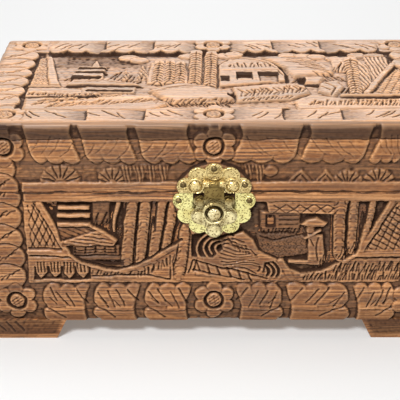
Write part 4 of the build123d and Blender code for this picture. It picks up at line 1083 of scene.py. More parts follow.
# %% Tool marks, stain, painted shade and worn highlight layers
# The lid keeps less painted shade than the case and its picture a little more; the brow darkens towards
# its top and the corner columns a little.
KEPT_SHADE = {crown: 0.85, brow: 0.75}
KEPT_STAIN = {crown: 0.72, brow: 0.86}
PICTURE_SHADE = 1.1
ROLL_DARKENING = 0.08
COLUMN_DARKENING = 0.1
DEEPEST_CUT = 4.8
SLOW, QUICK = 5.0, 1.6
brow.shade_and_grime += ROLL_DARKENING * np.clip((brow.V - SUMMIT + 15.0) / 9.0, 0, 1)
for carving in (front, brow):
    carving.shade_and_grime[np.abs(carving.U) > PANEL_EDGE] += COLUMN_DARKENING
for carving in carvings:
    u = carving.U + 0.3 * waver(carving, SLOW) + 0.14 * waver(carving, QUICK)
    v = carving.V + 0.28 * waver(carving, SLOW) + 0.14 * waver(carving, QUICK)
    carving.h = carving.read(carving.h, u, v)
    carving.tint = carving.read(carving.tint, u, v)
    carving.shade_and_grime = carving.read(carving.shade_and_grime, u, v)
    marks = waver(carving, 0.8)
    depth = np.clip(-carving.h / PANEL_GROUND, 0, 1)
    carving.h = np.clip(carving.h + marks * (0.07 + 0.15 * depth), -DEEPEST_CUT, 0.0)
    steep = np.hypot(*np.gradient(carving.h, CUT_STEP))
    pocket = np.clip((blurred(carving.h, 2.0) - carving.h) / 1.6, 0, 1)
    slit = np.clip((blurred(carving.h, 0.8) - carving.h) / 0.45, 0, 1)
    wall = np.clip((steep - 0.9) / 1.8, 0, 1)
    kept_shade = np.full(carving.h.shape, KEPT_SHADE.get(carving, 1.0))
    if carving is crown:
        kept_shade[(np.abs(crown.U) < PANEL_EDGE) & (np.abs(crown.V) < PANEL_Y)] *= PICTURE_SHADE
    kept_stain = KEPT_STAIN.get(carving, 1.0)
    deep = np.clip((-carving.h - BORDER_GROUND) / 1.2, 0, 1)
    # Painted shade in pockets, slits and steep walls.
    dirt_and_shade = kept_shade * (0.8 * pocket * deep + 0.75 * slit + 0.2 * wall)
    carving.layers = {
        "cut": kept_stain * np.clip(-carving.h / PANEL_GROUND, 0, 1),
        "hollow": np.clip(dirt_and_shade + carving.shade_and_grime, 0, 1),
        # Raised edges, which the finish paints pale, partly as wear and partly as a painted highlight.
        "crest": np.clip((carving.h - blurred(carving.h, 1.0)) / 0.45, 0, 1) * (carving.h > -2.0),
        "tint": carving.tint,
    }
print("layers made for", len(carvings), "faces")

# %% [markdown]
# A carved board starts as a flat grid that folds down over the four edges of its face, like a
# cloth over a table, with a small radius at the fold. Each vertex that stands above a height
# map is then pressed down to it. A board that shows two carved faces, such as the lid's top
# with its front edge, is pressed by both maps, so leaves meet neatly at the corner. The back
# is closed by one large face. Its rim is turned in and stepped, so that the long thin
# triangles of that face lie away from the sides and don't streak their shading.

# %% Folded grid for a board
def fold_lines(half, radius, thick, step, skirt):
    """Places of the grid lines across a board, measured along the folded sheet."""
    flat = half - radius
    face = np.linspace(-flat, flat, max(2, round(2 * flat / step) + 1))
    bend = radius * math.pi / 2 * np.array([1, 2, 3]) / 3
    drop = np.linspace(0, thick - radius, max(2, round((thick - radius) / skirt) + 1))[1:]
    over = flat + np.concatenate([bend, bend[-1] + drop])
    return np.concatenate([-over[::-1], face, over])


BACK_INSET, BACK_STEP = 5.0, 0.3


def carved_mesh(name, maps, u_span, v_span, thick, radius=0.5, step=0.55, skirt=99.0):
    """Mesh of one board whose main face is the first map's."""
    main = maps[0]
    half_u, half_v = (u_span[1] - u_span[0]) / 2, (v_span[1] - v_span[0]) / 2
    lines_u = fold_lines(half_u, radius, thick, step, skirt)
    lines_v = fold_lines(half_v, radius, thick, step, skirt)
    bm = bmesh.new()
    bmesh.ops.create_grid(bm, x_segments=len(lines_u) - 1, y_segments=len(lines_v) - 1, size=1)
    turned_in = bmesh.ops.extrude_edge_only(bm, edges=[e for e in bm.edges if e.is_boundary])["geom"]
    bmesh.ops.holes_fill(bm, edges=[e for e in bm.edges if e.is_boundary], sides=0)
    bm.verts.index_update()
    back = [part.index for part in turned_in if isinstance(part, bmesh.types.BMVert)]
    mesh = bpy.data.meshes.new(name)
    bm.to_mesh(mesh)
    bm.free()

    flat = np.empty(len(mesh.vertices) * 3)
    mesh.vertices.foreach_get("co", flat)
    flat = flat.reshape(-1, 3)
    u = lines_u[np.rint((flat[:, 0] + 1) / 2 * (len(lines_u) - 1)).astype(int)]
    v = lines_v[np.rint((flat[:, 1] + 1) / 2 * (len(lines_v) - 1)).astype(int)]
    past_u = np.maximum(np.abs(u) - (half_u - radius), 0)
    past_v = np.maximum(np.abs(v) - (half_v - radius), 0)
    past = np.maximum(past_u, past_v)
    bend = np.minimum(past / radius, math.pi / 2)
    spread = radius * np.sin(bend)
    drop = radius * (1 - np.cos(bend)) + np.maximum(past - radius * math.pi / 2, 0)
    lean = np.arctan2(np.minimum(past_u, past_v), np.maximum(past, 1e-9))
    aim = np.where(past_u >= past_v, lean, math.pi / 2 - lean)
    u = np.sign(u) * (np.minimum(np.abs(u), half_u - radius) + spread * np.cos(aim))
    v = np.sign(v) * (np.minimum(np.abs(v), half_v - radius) + spread * np.sin(aim))
    u[back] *= 1 - min(BACK_INSET / half_u, 0.5)
    v[back] *= 1 - min(BACK_INSET / half_v, 0.5)
    drop[back] -= BACK_STEP
    u, v = u + sum(u_span) / 2, v + sum(v_span) / 2
    points = np.outer(u, main.along) + np.outer(v, main.up) + np.outer(main.level - drop, main.out)

    shades = {layer: np.zeros(len(points)) for layer in main.layers}
    for carving in maps:
        u, v = points @ carving.along, points @ carving.up
        over = points @ carving.out - carving.level - carving.read(carving.h, u, v)
        points -= np.outer(np.maximum(over, 0), carving.out)
        for layer, values in carving.layers.items():
            found = np.where(over > -0.05, carving.read(values, u, v), 0)
            shades[layer] = np.maximum(shades[layer], found)
    mesh.vertices.foreach_set("co", (points * MM).ravel())
    for layer, values in shades.items():
        values[back] = 0.5 if layer == "tint" else 0.0
        mesh.attributes.new(layer, "FLOAT", "POINT").data.foreach_set("value", values)
    mesh.update()
    return mesh


print("back faces are turned in by", BACK_INSET, "mm")

# %% [markdown]
# Behind a carved face the wood is a plain block with eased edges. Each finished piece joins
# its meshes, is thinned if it has more triangles than it needs, is held inside the box of the
# solids, and gets its finish and its body.

# %% Plain blocks and finished pieces
BLOCK_EASE = 0.3


def box_mesh(name, low, high):
    """A plain block with eased edges, for the uncarved wood behind a face."""
    low, high = np.array(low, float), np.array(high, float)
    bm = bmesh.new()
    bmesh.ops.create_cube(bm, size=1)
    bmesh.ops.scale(bm, vec=Vector((high - low) * MM), verts=bm.verts)
    bmesh.ops.translate(bm, vec=Vector((high + low) / 2 * MM), verts=bm.verts)
    bmesh.ops.bevel(
        bm,
        geom=bm.edges[:],
        offset=BLOCK_EASE * MM,
        affect="EDGES",
        segments=2,
        profile=0.5,
        material=-1,
    )
    mesh = bpy.data.meshes.new(name)
    bm.to_mesh(mesh)
    bm.free()
    return mesh


MOST_TRIANGLES = 190_000
SHARP_FROM = math.radians(85)
LARGE_FACE = 40 * MM * MM


def piece(name, meshes, finish, body, stands_for=()):
    """Joins meshes into one object, gives it its finish and puts it on its body."""
    bm = bmesh.new()
    for mesh in meshes:
        bm.from_mesh(mesh)
        bpy.data.meshes.remove(mesh)
    whole = bpy.data.meshes.new(name)
    bm.to_mesh(whole)
    bm.free()
    thing = bpy.data.objects.new(name, whole)
    bpy.context.scene.collection.objects.link(thing)
    whole.calc_loop_triangles()
    count = len(whole.loop_triangles)
    if count > MOST_TRIANGLES:
        thinner = thing.modifiers.new("thinner", "DECIMATE")
        thinner.ratio = MOST_TRIANGLES / count
        thinned = thing.evaluated_get(bpy.context.evaluated_depsgraph_get())
        whole = bpy.data.meshes.new_from_object(thinned)
        thing.modifiers.clear()
        thing.data = whole
    for vertex in whole.vertices:
        vertex.co = [min(max(c, a), b) for c, a, b in zip(vertex.co, *cad_box)]
    whole.materials.clear()
    whole.materials.append(finish)
    whole.shade_smooth()
    whole.set_sharp_from_angle(angle=SHARP_FROM)
    for face in whole.polygons:
        face.use_smooth = face.area < LARGE_FACE
    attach(thing, body)
    if stands_for:
        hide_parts(*stands_for)
    print(name, "has", min(count, MOST_TRIANGLES), "triangles")
    return thing


print("pieces are thinned to", MOST_TRIANGLES, "triangles")

# %% [markdown]
# The finishes are built from shader nodes. They could be linked one by one in the node editor.
# Here a small class wraps a socket so that masks can be written as sums in Python, and one
# method adds any other node, because a sum is easier to read and to change.

# %% Shader helpers
class Tone:
    """A shader value. Each operator adds one Math node."""

    def __init__(self, finish, socket):
        self.finish = finish
        self.socket = socket

    def sum(self, operation, first, second):
        return self.finish.node("ShaderNodeMath", {"operation": operation}, {0: first, 1: second})

    def __add__(self, other):
        return self.sum("ADD", self, other)

    def __rsub__(self, other):
        return self.sum("SUBTRACT", other, self)

    def __mul__(self, other):
        return self.sum("MULTIPLY", self, other)


class Finish:
    """A material under construction."""

    def __init__(self, name, **constants):
        self.material = bpy.data.materials.new(name)
        self.material.use_nodes = True
        self.tree = self.material.node_tree
        self.shader = self.tree.nodes["Principled BSDF"]
        for key, value in constants.items():
            self.shader.inputs[key.replace("_", " ")].default_value = value

    def node(self, kind, settings=None, sockets=None, out=0):
        """Adds a node of any type: settings first, then values or links of its sockets."""
        node = self.tree.nodes.new(kind)
        for key, value in (settings or {}).items():
            if key == "stops":
                while len(node.color_ramp.elements) < len(value):
                    node.color_ramp.elements.new(0.5)
                for stop, (place, colour) in zip(node.color_ramp.elements, value):
                    stop.position = place
                    stop.color = (*colour, 1)
            else:
                setattr(node, key, value)
        for key, value in (sockets or {}).items():
            self.feed(node.inputs[key], value)
        return Tone(self, node.outputs[out])

    def feed(self, socket, value):
        if isinstance(value, Tone):
            self.tree.links.new(value.socket, socket)
        else:
            socket.default_value = value

    def blend(self, share, first, second):
        """A colour between two others."""
        pair = {6: first, 7: second}
        pair = {k: c if isinstance(c, Tone) else (*c, 1) for k, c in pair.items()}
        return self.node("ShaderNodeMix", {"data_type": "RGBA"}, {0: share, **pair}, out=2)

    def noise(self, scale, detail=3.0, rough=0.55):
        """Noise on Object coordinates, with its scale per metre along each axis."""
        place = self.node("ShaderNodeTexCoord", out="Object")
        place = self.node("ShaderNodeMapping", {}, {"Vector": place, "Scale": scale})
        sockets = {"Vector": place, "Scale": 1.0, "Detail": detail, "Roughness": rough}
        return self.node("ShaderNodeTexNoise", {}, sockets)

    def window(self, value, low, high):
        """The value stretched so that low gives 0 and high gives 1."""
        return self.node("ShaderNodeMapRange", {}, {"Value": value, "From Min": low, "From Max": high})

    def use(self, **links):
        for key, value in links.items():
            self.feed(self.shader.inputs[key.replace("_", " ")], value)
        return self.material

    def bump(self, height, distance, strength=1.0):
        sockets = {"Height": height, "Distance": distance, "Strength": strength}
        return self.node("ShaderNodeBump", {}, sockets)


print("shader helpers ready")


# %% [markdown]
# The wood is a red-brown hardwood with straight growth lines, oiled and worn. The grain is
# noise stretched along the board, because the real lines run from end to end. Stain is laid
# over it by the cut layer, painted shade and dark joints by the hollow layer, and the crest
# layer paints raised edges pale, partly as wear and partly as a painted highlight. The lid's
# top gets a pale painted sheen, and its rolled front edge is darkened. All lengths in a finish
# are metres, because Object coordinates are.

# %% Carved wood
RING_GAP = 0.0027
WOOD_TONES = [
    (0.0, (0.11, 0.036, 0.010)),
    (0.35, (0.28, 0.099, 0.0255)),
    (0.65, (0.50, 0.203, 0.060)),
    (1.0, (0.87, 0.435, 0.185)),
]
STREAK, BLOTCH = (0.10, 0.038, 0.016), (0.19, 0.098, 0.048)
DARK_GROUND, PALE_GROUND = (0.09, 0.047, 0.024), (0.185, 0.094, 0.046)
DEEP_GROUND = (0.068, 0.032, 0.015)
# Painted sheen for the lid's top, a darker tone for its rolled edge, and raised edges painted pale as
# wear and highlight.
TOP_SHEEN, ROLL_DARK, WORN_HIGHLIGHT = (0.76, 0.55, 0.35), (0.13, 0.062, 0.028), (0.92, 0.52, 0.26)
# Painted shade and dark joints, from the hollow layer.
DIRT_AND_SHADE = (0.034, 0.0125, 0.0048)


def carved_wood(name, grain_axis, sheen_share=0.0, edge_darkening=0.0):
    """Oiled hardwood with its grain along one axis, with a painted sheen on top or a darkened edge if
    asked.
    """
    f = Finish(name, Specular_IOR_Level=0.3, Coat_Roughness=0.35)

    def stretched(along, across):
        return tuple(along if axis == grain_axis else across for axis in range(3))

    lines = f.noise(stretched(9, 560), 4.0, 0.62)
    place = f.node("ShaderNodeTexCoord", out="Object")
    others = [axis for axis in range(3) if axis != grain_axis]
    first, second = (f.node("ShaderNodeSeparateXYZ", {}, {"Vector": place}, out=axis) for axis in others)
    wander = f.noise(stretched(7, 45), 2.0) * 0.020 + f.noise(stretched(25, 250), 2.0) * 0.0022
    run = (first + second + wander) * (math.tau / RING_GAP)
    rings = f.node("ShaderNodeMath", {"operation": "SINE"}, {0: run})
    fade = f.window(f.noise(stretched(14, 60), 2.0), 0.36, 0.6)
    streaks = f.window(rings, -0.1, 0.9) * fade
    bands = f.noise(stretched(5, 90), 2.0)
    blotch = f.noise((26, 26, 26), 3.0)
    layers = ("cut", "hollow", "crest", "tint")
    cut, hollow, crest, tint = (
        f.node("ShaderNodeAttribute", {"attribute_name": layer}, out="Fac") for layer in layers
    )
    tone = f.window(lines, 0.41, 0.60) * 0.52 + f.window(bands, 0.3, 0.7) * 0.28 + tint * 0.2
    wood = f.node("ShaderNodeValToRGB", {"stops": WOOD_TONES}, {"Fac": tone})
    wood = f.blend(streaks * 0.8, wood, STREAK)
    wood = f.blend(f.window(blotch, 0.42, 0.72) * 0.4, wood, BLOTCH)
    stain = f.window(cut, 0.35, 0.75)
    ground = f.blend(f.window(blotch, 0.35, 0.65), DARK_GROUND, PALE_GROUND)
    wood = f.blend(stain * 0.88, wood, ground)
    wood = f.blend(f.window(cut, 0.85, 1.0) * 0.4, wood, DEEP_GROUND)
    height = f.node("ShaderNodeSeparateXYZ", {}, {"Vector": place}, out="Z")
    # Painted sheen: the top few millimetres of the lid turn paler.
    top_sheen_mask = f.window(height, (SUMMIT - 7.0) * MM, (SUMMIT - 2.5) * MM)
    wood = f.blend(top_sheen_mask * (1 - stain) * sheen_share, wood, TOP_SHEEN)
    # The rolled front and back edges of the lid's top are darkened.
    reach = f.node("ShaderNodeMath", {"operation": "ABSOLUTE"}, {0: first})
    roll = f.window(reach, (FRONT - 3.6) * MM, (FRONT - 1.6) * MM)
    wood = f.blend(roll * edge_darkening, wood, ROLL_DARK)
    # Raised edges painted pale, partly wear and partly a painted highlight.
    wood = f.blend(crest * 0.42, wood, WORN_HIGHLIGHT)
    # Painted shade and dark joints darken the wood.
    dirt_and_shade = f.window(hollow, 0.05, 0.66)
    wood = f.blend(dirt_and_shade * 0.96, wood, DIRT_AND_SHADE)
    rough = f.window(lines, 0.3, 0.7) * 0.16 + stain * 0.2 + dirt_and_shade * 0.25 + 0.4
    polish = (1 - dirt_and_shade) * (1 - stain * 0.6) * 0.4
    relief = lines * 0.5 + streaks * 0.25 + f.noise((700, 700, 700), 2.0) * 0.25
    normal = f.bump(relief, 0.0009, 1.0)
    return f.use(Base_Color=wood, Roughness=rough, Coat_Weight=polish, Normal=normal)


long_wood = carved_wood("long_wood", 0)
cross_wood = carved_wood("cross_wood", 1)
lid_wood = carved_wood("lid_wood", 0, sheen_share=0.22, edge_darkening=0.5)
print("carved wood ready")

# %% [markdown]
# The front board is 5 mm of carved face that laps over the ends of the side boards, with plain
# wood behind it between them. It is built the same way here, so the rebates stay open. The
# base board shows its edge on three sides, so it gets three carved strips round a plain core.

# %% Carved boards
WALL = 11.0
LAP = 5.0
OVERLAP = 0.1


def faced_board(name, carving, low, high):
    """A long board: its carved face, and the plain wood behind it."""
    face = carved_mesh(name + "_face", [carving], (low[0], high[0]), (low[2], high[2]), LAP)
    inner = box_mesh(
        name + "_inner",
        (low[0] + WALL, -FRONT + LAP - OVERLAP, low[2]),
        (high[0] - WALL, -FRONT + WALL, high[2]),
    )
    return [face, inner]


front_board = faced_board("front", front, case_low, case_high)
piece("carved_front", front_board, long_wood, "case", ["case_front"])
brow_board = faced_board("brow", brow, lid_low, lid_high)
piece("carved_lid_front", brow_board, long_wood, "lid", ["lid_front"])
top_mesh = carved_mesh(
    "top",
    [crown, brow, left_lid, right_lid],
    (top_low[0], top_high[0]),
    (top_low[1], top_high[1]),
    top_high[2] - top_low[2],
    radius=5.0,
    skirt=0.6,
)
piece("carved_lid_top", [top_mesh], lid_wood, "lid", ["lid_top"])

for end, case_map, lid_map in (("left", left_case, left_lid), ("right", right_case, right_lid)):
    for part, carving, body in (("case", case_map, "case"), ("lid", lid_map, "lid")):
        low, high = box_mm(f"{part}_{end}")
        span = sorted((low[1] * carving.along[1], high[1] * carving.along[1]))
        board = carved_mesh(f"{part}_{end}_face", [carving], span, (low[2], high[2]), WALL)
        piece(f"carved_{part}_{end}", [board], cross_wood, body, [f"{part}_{end}"])

EDGE, EDGE_STEP = 8.0, 0.6
base_rise = (base_low[2], base_high[2])
edges = [carved_mesh("base_edge", [front], (base_low[0], base_high[0]), base_rise, EDGE, step=EDGE_STEP)]
for carving in (left_case, right_case):
    span = (-FRONT + EDGE, FRONT) if carving is right_case else (-FRONT, FRONT - EDGE)
    edges.append(carved_mesh("base_edge", [carving], span, base_rise, EDGE, step=EDGE_STEP))
edges.append(
    box_mesh(
        "base_core",
        (base_low[0] + EDGE - OVERLAP, base_low[1] + EDGE - OVERLAP, base_low[2]),
        (base_high[0] - EDGE + OVERLAP, base_high[1], base_high[2]),
    )
)
piece("carved_base", edges, long_wood, "case", ["base_board"])

# %% [markdown]
# A foot wing starts as a straight carved strip. Its points are then drawn in along the strip:
# to the mitre at the corner, where the strip gets shorter with depth, and to the rake at the
# free end, where it gets shorter towards the floor.

# %% Foot wings
FOOT_THICK = 10.0
FOOT_RAKE = 7.2
for name, c in wing_maps.items():
    strip = carved_mesh(name, [c], (c.us[0], c.us[0] + FOOT_LENGTH), (0.0, FOOT_HEIGHT), FOOT_THICK)
    for vertex in strip.vertices:
        place = np.array(vertex.co) / MM
        run = c.inward * (place @ c.along - c.corner)
        mitre = c.level - place @ c.out
        rake = FOOT_LENGTH - FOOT_RAKE * (1 - place[2] / FOOT_HEIGHT)
        drawn = mitre + run / FOOT_LENGTH * (rake - mitre)
        vertex.co = Vector((place + c.along * c.inward * (drawn - run)) * MM)
    wood = long_wood if name.endswith("face") else cross_wood
    piece("carved_" + name, [strip], wood, "case", [name])

# %% [markdown]
# The metalwork is thin brass, pale yellow where it is rubbed and brown in the punched dots.
# The hinges are plainer brass, and the nails under the base are iron. The dots are too many to
# model, so the cells of a texture darken and dent the finish instead. The plate round the
# tongue and the post's stem get painted shade, the tongue turns darker above its neck, and the
# nail heads are painted dark as the shade in their holes.

# %% Brass and iron
POST_SHADE, SHADE_EDGE = 0.0136, 0.0152
NECK_FADE, STEM_FADE = 0.008, 0.0012


def brass(name, bright, dull, dots, shaded=None, behind=None, above=None):
    """Worn punched brass, brown with patina in its hollows, with painted shade round a point or behind a
    level if asked, and darker above a level.
    """
    f = Finish(name, Metallic=1.0)
    patches = f.window(f.noise((130, 130, 130), 3.0), 0.40, 0.66)
    place = f.node("ShaderNodeTexCoord", out="Object")
    cells = f.node("ShaderNodeTexVoronoi", {}, {"Vector": place, "Scale": dots})
    pits = f.window(cells, 0.20, 0.50)
    hollow = f.node("ShaderNodeAttribute", {"attribute_name": "hollow"}, out="Fac")
    # Painted shade on the plate, round a point behind the tongue.
    if shaded:
        sockets = {0: place, 1: shaded}
        from_post = f.node("ShaderNodeVectorMath", {"operation": "DISTANCE"}, sockets, out="Value")
        hollow = f.window(from_post, SHADE_EDGE, POST_SHADE)
    # Painted shade on the post, behind a level near its stem.
    if behind:
        into_box = f.node("ShaderNodeSeparateXYZ", {}, {"Vector": place}, out="Y")
        hollow = f.window(into_box, behind - STEM_FADE, behind)
    # The brass turns darker brown above a level.
    if above:
        height = f.node("ShaderNodeSeparateXYZ", {}, {"Vector": place}, out="Z")
        bright = f.blend(f.window(height, above, above + NECK_FADE), bright, (0.30, 0.21, 0.07))
        dull = f.blend(f.window(height, above, above + NECK_FADE), dull, (0.15, 0.10, 0.03))
    colour = f.blend(patches * 0.7, bright, dull)
    colour = f.blend((1 - pits) * 0.8, colour, (0.16, 0.10, 0.035))
    # Patina in the chased hollows; on the plate and the post, painted shade instead.
    colour = f.blend(hollow * 0.9, colour, (0.055, 0.032, 0.010))
    rough = patches * 0.2 + (1 - pits) * 0.2 + 0.3
    return f.use(Base_Color=colour, Roughness=rough, Normal=f.bump(pits, 0.0003, 0.8))


PALE_BRASS, WORN_BRASS = (0.95, 0.88, 0.38), (0.72, 0.60, 0.23)
PLATE_FACE = -box_mm("hasp_case_plate")[0][1]
post_low, post_high = box_mm("hasp_post")
POST_Z = (post_low[2] + post_high[2]) / 2
TONGUE_FACE = -box_mm("hasp_tongue")[0][1]
NECK = (POST_Z + 2.0) * MM
STEM = -(TONGUE_FACE + 0.3) * MM
behind_tongue = (0.0, -PLATE_FACE * MM, (POST_Z + 4.5) * MM)
hasp_brass = brass("hasp_brass", PALE_BRASS, WORN_BRASS, 800.0)
plate_brass = brass("plate_brass", PALE_BRASS, WORN_BRASS, 800.0, shaded=behind_tongue)
lid_brass = brass("lid_brass", (0.88, 0.70, 0.32), (0.50, 0.36, 0.14), 800.0)
tongue_brass = brass("tongue_brass", (0.97, 0.85, 0.46), (0.38, 0.28, 0.11), 650.0, above=NECK)
post_brass = brass("post_brass", (0.97, 0.85, 0.50), (0.55, 0.42, 0.18), 650.0, behind=STEM)
# The nail heads are painted dark brown, as painted shade in their holes.
tack_shade_brass = brass("tack_shade_brass", (0.22, 0.16, 0.07), (0.10, 0.07, 0.03), 900.0)
hinge_brass = brass("hinge_brass", (0.62, 0.44, 0.17), (0.35, 0.23, 0.08), 500.0)

iron_work = Finish("iron_work", Metallic=1.0)
rust = iron_work.window(iron_work.noise((900, 900, 900)), 0.4, 0.7)
rusty = iron_work.blend(rust, (0.16, 0.15, 0.14), (0.13, 0.06, 0.03))
iron = iron_work.use(Base_Color=rusty, Roughness=rust * 0.35 + 0.45)
print("hasp post stands at", round(POST_Z, 1), "mm")

# %% [markdown]
# The tray is plain thin wood of a lighter colour, and the lining is red felt. Felt is rough and
# has a soft sheen from its loose fibres, so it gets the sheen of cloth and a fine bump.

# %% Tray wood and felt
tray_work = Finish("tray_work")
tray_lines = tray_work.noise((20, 700, 700), 4.0, 0.6)
tray_wood = tray_work.use(
    Base_Color=tray_work.node(
        "ShaderNodeValToRGB",
        {"stops": [(0.3, (0.26, 0.115, 0.05)), (0.7, (0.44, 0.22, 0.10))]},
        {"Fac": tray_lines},
    ),
    Roughness=tray_lines * 0.2 + 0.4,
    Normal=tray_work.bump(tray_lines, 0.0002, 0.6),
)

felt_work = Finish("felt_work", Sheen_Weight=0.6, Sheen_Roughness=0.5)
fibres = felt_work.noise((2600, 2600, 2600), 4.0, 0.7)
naps = felt_work.window(felt_work.noise((60, 60, 60), 2.0), 0.35, 0.7)
felt = felt_work.use(
    Base_Color=felt_work.blend(naps * 0.5 + fibres * 0.3, (0.20, 0.012, 0.016), (0.095, 0.006, 0.010)),
    Roughness=fibres * 0.15 + 0.82,
    Normal=felt_work.bump(fibres, 0.0004, 0.9),
)
finishes = {
    "carved_wood": long_wood,
    "tray_wood": tray_wood,
    "hasp_brass": hasp_brass,
    "hinge_brass": hinge_brass,
    "iron": iron,
    "felt": felt,
}
print("finishes", sorted(finishes))

# %% [markdown]
# The frame's own solids stay wherever their shape is already right: back boards, runners,
# hinges, hasp, tray and nails. They get the finishes, and a fine bevel so that their edges
# catch the light. A CAD mesh is loose triangles, so a weld goes first. The two back boards
# stay sharp, because a bevel would spike in their narrow rebates.

# %% Frame pieces
EASE = {
    "carved_wood": 0.6,
    "tray_wood": 0.5,
    "hasp_brass": 0.25,
    "hinge_brass": 0.2,
    "iron": 0.1,
    "felt": 0.3,
}
WELD_REACH = 0.01
SPECIAL = {
    "hasp_lid_plate": lid_brass,
    "hasp_case_plate": plate_brass,
    "hasp_studs": lid_brass,
    "hasp_tongue": tongue_brass,
    "hasp_pin": tongue_brass,
    "hasp_post": post_brass,
    "hasp_case_tacks": tack_shade_brass,
    "hasp_lid_tacks": tack_shade_brass,
}
SHARP = ("case_back", "lid_back")
for name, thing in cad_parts.items():
    if name.endswith("felt"):
        kind = "felt"
    elif name.startswith("tray"):
        kind = "tray_wood"
    elif name.startswith("hasp"):
        kind = "hasp_brass"
    elif name.startswith("hinge"):
        kind = "hinge_brass"
    elif name == "base_nails":
        kind = "iron"
    else:
        kind = "carved_wood"
    thing.data.materials.clear()
    thing.data.materials.append(SPECIAL.get(name, finishes[kind]))
    weld = thing.modifiers.new("weld", "WELD")
    weld.merge_threshold = WELD_REACH * MM
    if name in SHARP:
        continue
    ease = thing.modifiers.new("ease", "BEVEL")
    ease.width = EASE[kind] * MM
    ease.segments = 2
    ease.limit_method = "ANGLE"
    ease.angle_limit = math.radians(35)
    ease.harden_normals = True
print("frame pieces dressed", len(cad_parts))

# %% [markdown]
# The hasp is cast and chased: lobes of the flower have raised rims or nail craters, the two
# studs sit in collars, and the tongue has a rolled ring round its hole and bosses on its lobes.
# Each of these is round, so a half outline is spun about the axis that points out of the box.
# Those that meet the seam are cut along it, as the plate is.

# %% Turned bosses
ROUND = 28


def turned(outline, centre, face):
    """A round boss: (radius, height, darkness) points spun about the axis out of the box."""
    bm = bmesh.new()
    dark = bm.verts.layers.float.new("hollow")
    corners = []
    for radius, height, shade in outline:
        corner = bm.verts.new((radius * MM, 0, height * MM))
        corner[dark] = shade
        corners.append(corner)
    edges = [bm.edges.new(pair) for pair in zip(corners, corners[1:])]
    bmesh.ops.spin(
        bm,
        geom=corners + edges,
        cent=(0, 0, 0),
        axis=(0, 0, 1),
        angle=math.tau,
        steps=ROUND,
        use_merge=True,
    )
    bmesh.ops.remove_doubles(bm, verts=bm.verts, dist=0.01 * MM)
    bmesh.ops.recalc_face_normals(bm, faces=bm.faces)
    bmesh.ops.rotate(bm, verts=bm.verts, cent=(0, 0, 0), matrix=Matrix.Rotation(math.pi / 2, 3, "X"))
    bmesh.ops.translate(bm, verts=bm.verts, vec=Vector((centre[0], -face, centre[1])) * MM)
    return bm


def finished(bm, keep_above=None, keep_below=None):
    """Cuts a boss along the seam if asked, closes the cut, and gives its mesh."""
    for level, way in ((keep_above, -1), (keep_below, 1)):
        if level is not None:
            everything = bm.verts[:] + bm.edges[:] + bm.faces[:]
            bmesh.ops.bisect_plane(
                bm, geom=everything, plane_co=(0, 0, level * MM), plane_no=(0, 0, way), clear_outer=True
            )
            bmesh.ops.holes_fill(bm, edges=[e for e in bm.edges if e.is_boundary], sides=0)
    mesh = bpy.data.meshes.new("boss")
    bm.to_mesh(mesh)
    bm.free()
    return mesh


def closed_ring(outline, centre, **cut):
    """A ring on the flower plate, whose half outline closes on itself."""
    return finished(turned(outline + outline[:1], centre, PLATE_FACE), **cut)


print("bosses are spun in", ROUND, "steps")

# %% [markdown]
# The rims, nail craters and collars are set round the flower, and the ring and bosses on the
# tongue. Heights are measured from the face of the metal, and the third number of each point
# is how dark it is, for the dirt in the chased lines and painted shade in the nail craters.

# %% Chased brass of the hasp
LOBE_RING, TACK_RING, LOBES = 20.8, 23.4, 12


def flower_place(k, ring):
    """Where lobe k of the flower is, on a ring about its middle."""
    turn = math.tau * k / LOBES
    return HASP[0] + ring * math.cos(turn), HASP[1] + ring * math.sin(turn)


rim = [(4.7, -0.3, 0), (4.8, 0.15, 0.5), (5.3, 0.5, 0), (5.9, 0.45, 0), (6.3, -0.3, 0.4)]
# A crater is darkest at its hole, as painted shade.
crater = [(1.8, -0.3, 1), (1.9, 0.1, 1), (2.3, 0.5, 0.1), (2.9, 0.5, 0)]
crater += [(3.5, 0.15, 0.3), (3.7, -0.3, 0.5)]
collar = [(4.0, 0.1, 0.8), (4.4, 0.3, 0.6), (4.9, 0.8, 0), (5.5, 0.8, 0)]
collar += [(6.1, 0.3, 0.2), (6.2, -0.3, 0.4), (4.0, -0.3, 0)]
lid_trim, case_trim, tongue_trim = [], [], []
for k in (2, 3, 4):
    lid_trim.append(closed_ring(rim, flower_place(k, LOBE_RING), keep_above=LID_FOOT))
for k in (1, 3, 5):
    lid_trim.append(closed_ring(crater, flower_place(k, TACK_RING), keep_above=LID_FOOT))
for k in (0, 6):
    case_trim.append(closed_ring(crater, flower_place(k, TACK_RING), keep_below=CASE_TOP))
stud_low, stud_high = box_mm("hasp_studs")
stud_z = (stud_low[2] + stud_high[2]) / 2
stud_out = stud_high[0] - (stud_high[2] - stud_low[2]) / 2
for side in (-1, 1):
    lid_trim.append(closed_ring(collar, (side * stud_out, stud_z), keep_above=LID_FOOT))

ring = [(6.3, -0.2, 0.6), (6.3, 0.5, 0.1), (6.9, 0.75, 0), (7.6, 0.7, 0)]
ring += [(8.2, 0.3, 0.3), (8.4, -0.2, 0.6)]
boss = [(0, 0.4, 0), (2.4, 0.36, 0), (3.5, 0.2, 0.2), (4.2, -0.2, 0.6), (0, -0.2, 0)]
tongue_trim.append(finished(turned(ring + ring[:1], (0, POST_Z), TONGUE_FACE)))
bosses = [(-9.6, 8.1, 0.72), (9.6, 8.1, 0.72), (-10.2, -3.0, 1.1), (10.2, -3.0, 1.1), (0, -13.4, 1.15)]
for x, z, size in bosses:
    outline = [(radius * size, height, shade) for radius, height, shade in boss]
    tongue_trim.append(finished(turned(outline, (x, POST_Z + z), TONGUE_FACE)))
piece("hasp_lid_chasing", lid_trim, lid_brass, "lid")
piece("hasp_case_chasing", case_trim, hasp_brass, "case")
piece("hasp_tongue_chasing", tongue_trim, tongue_brass, "tongue")

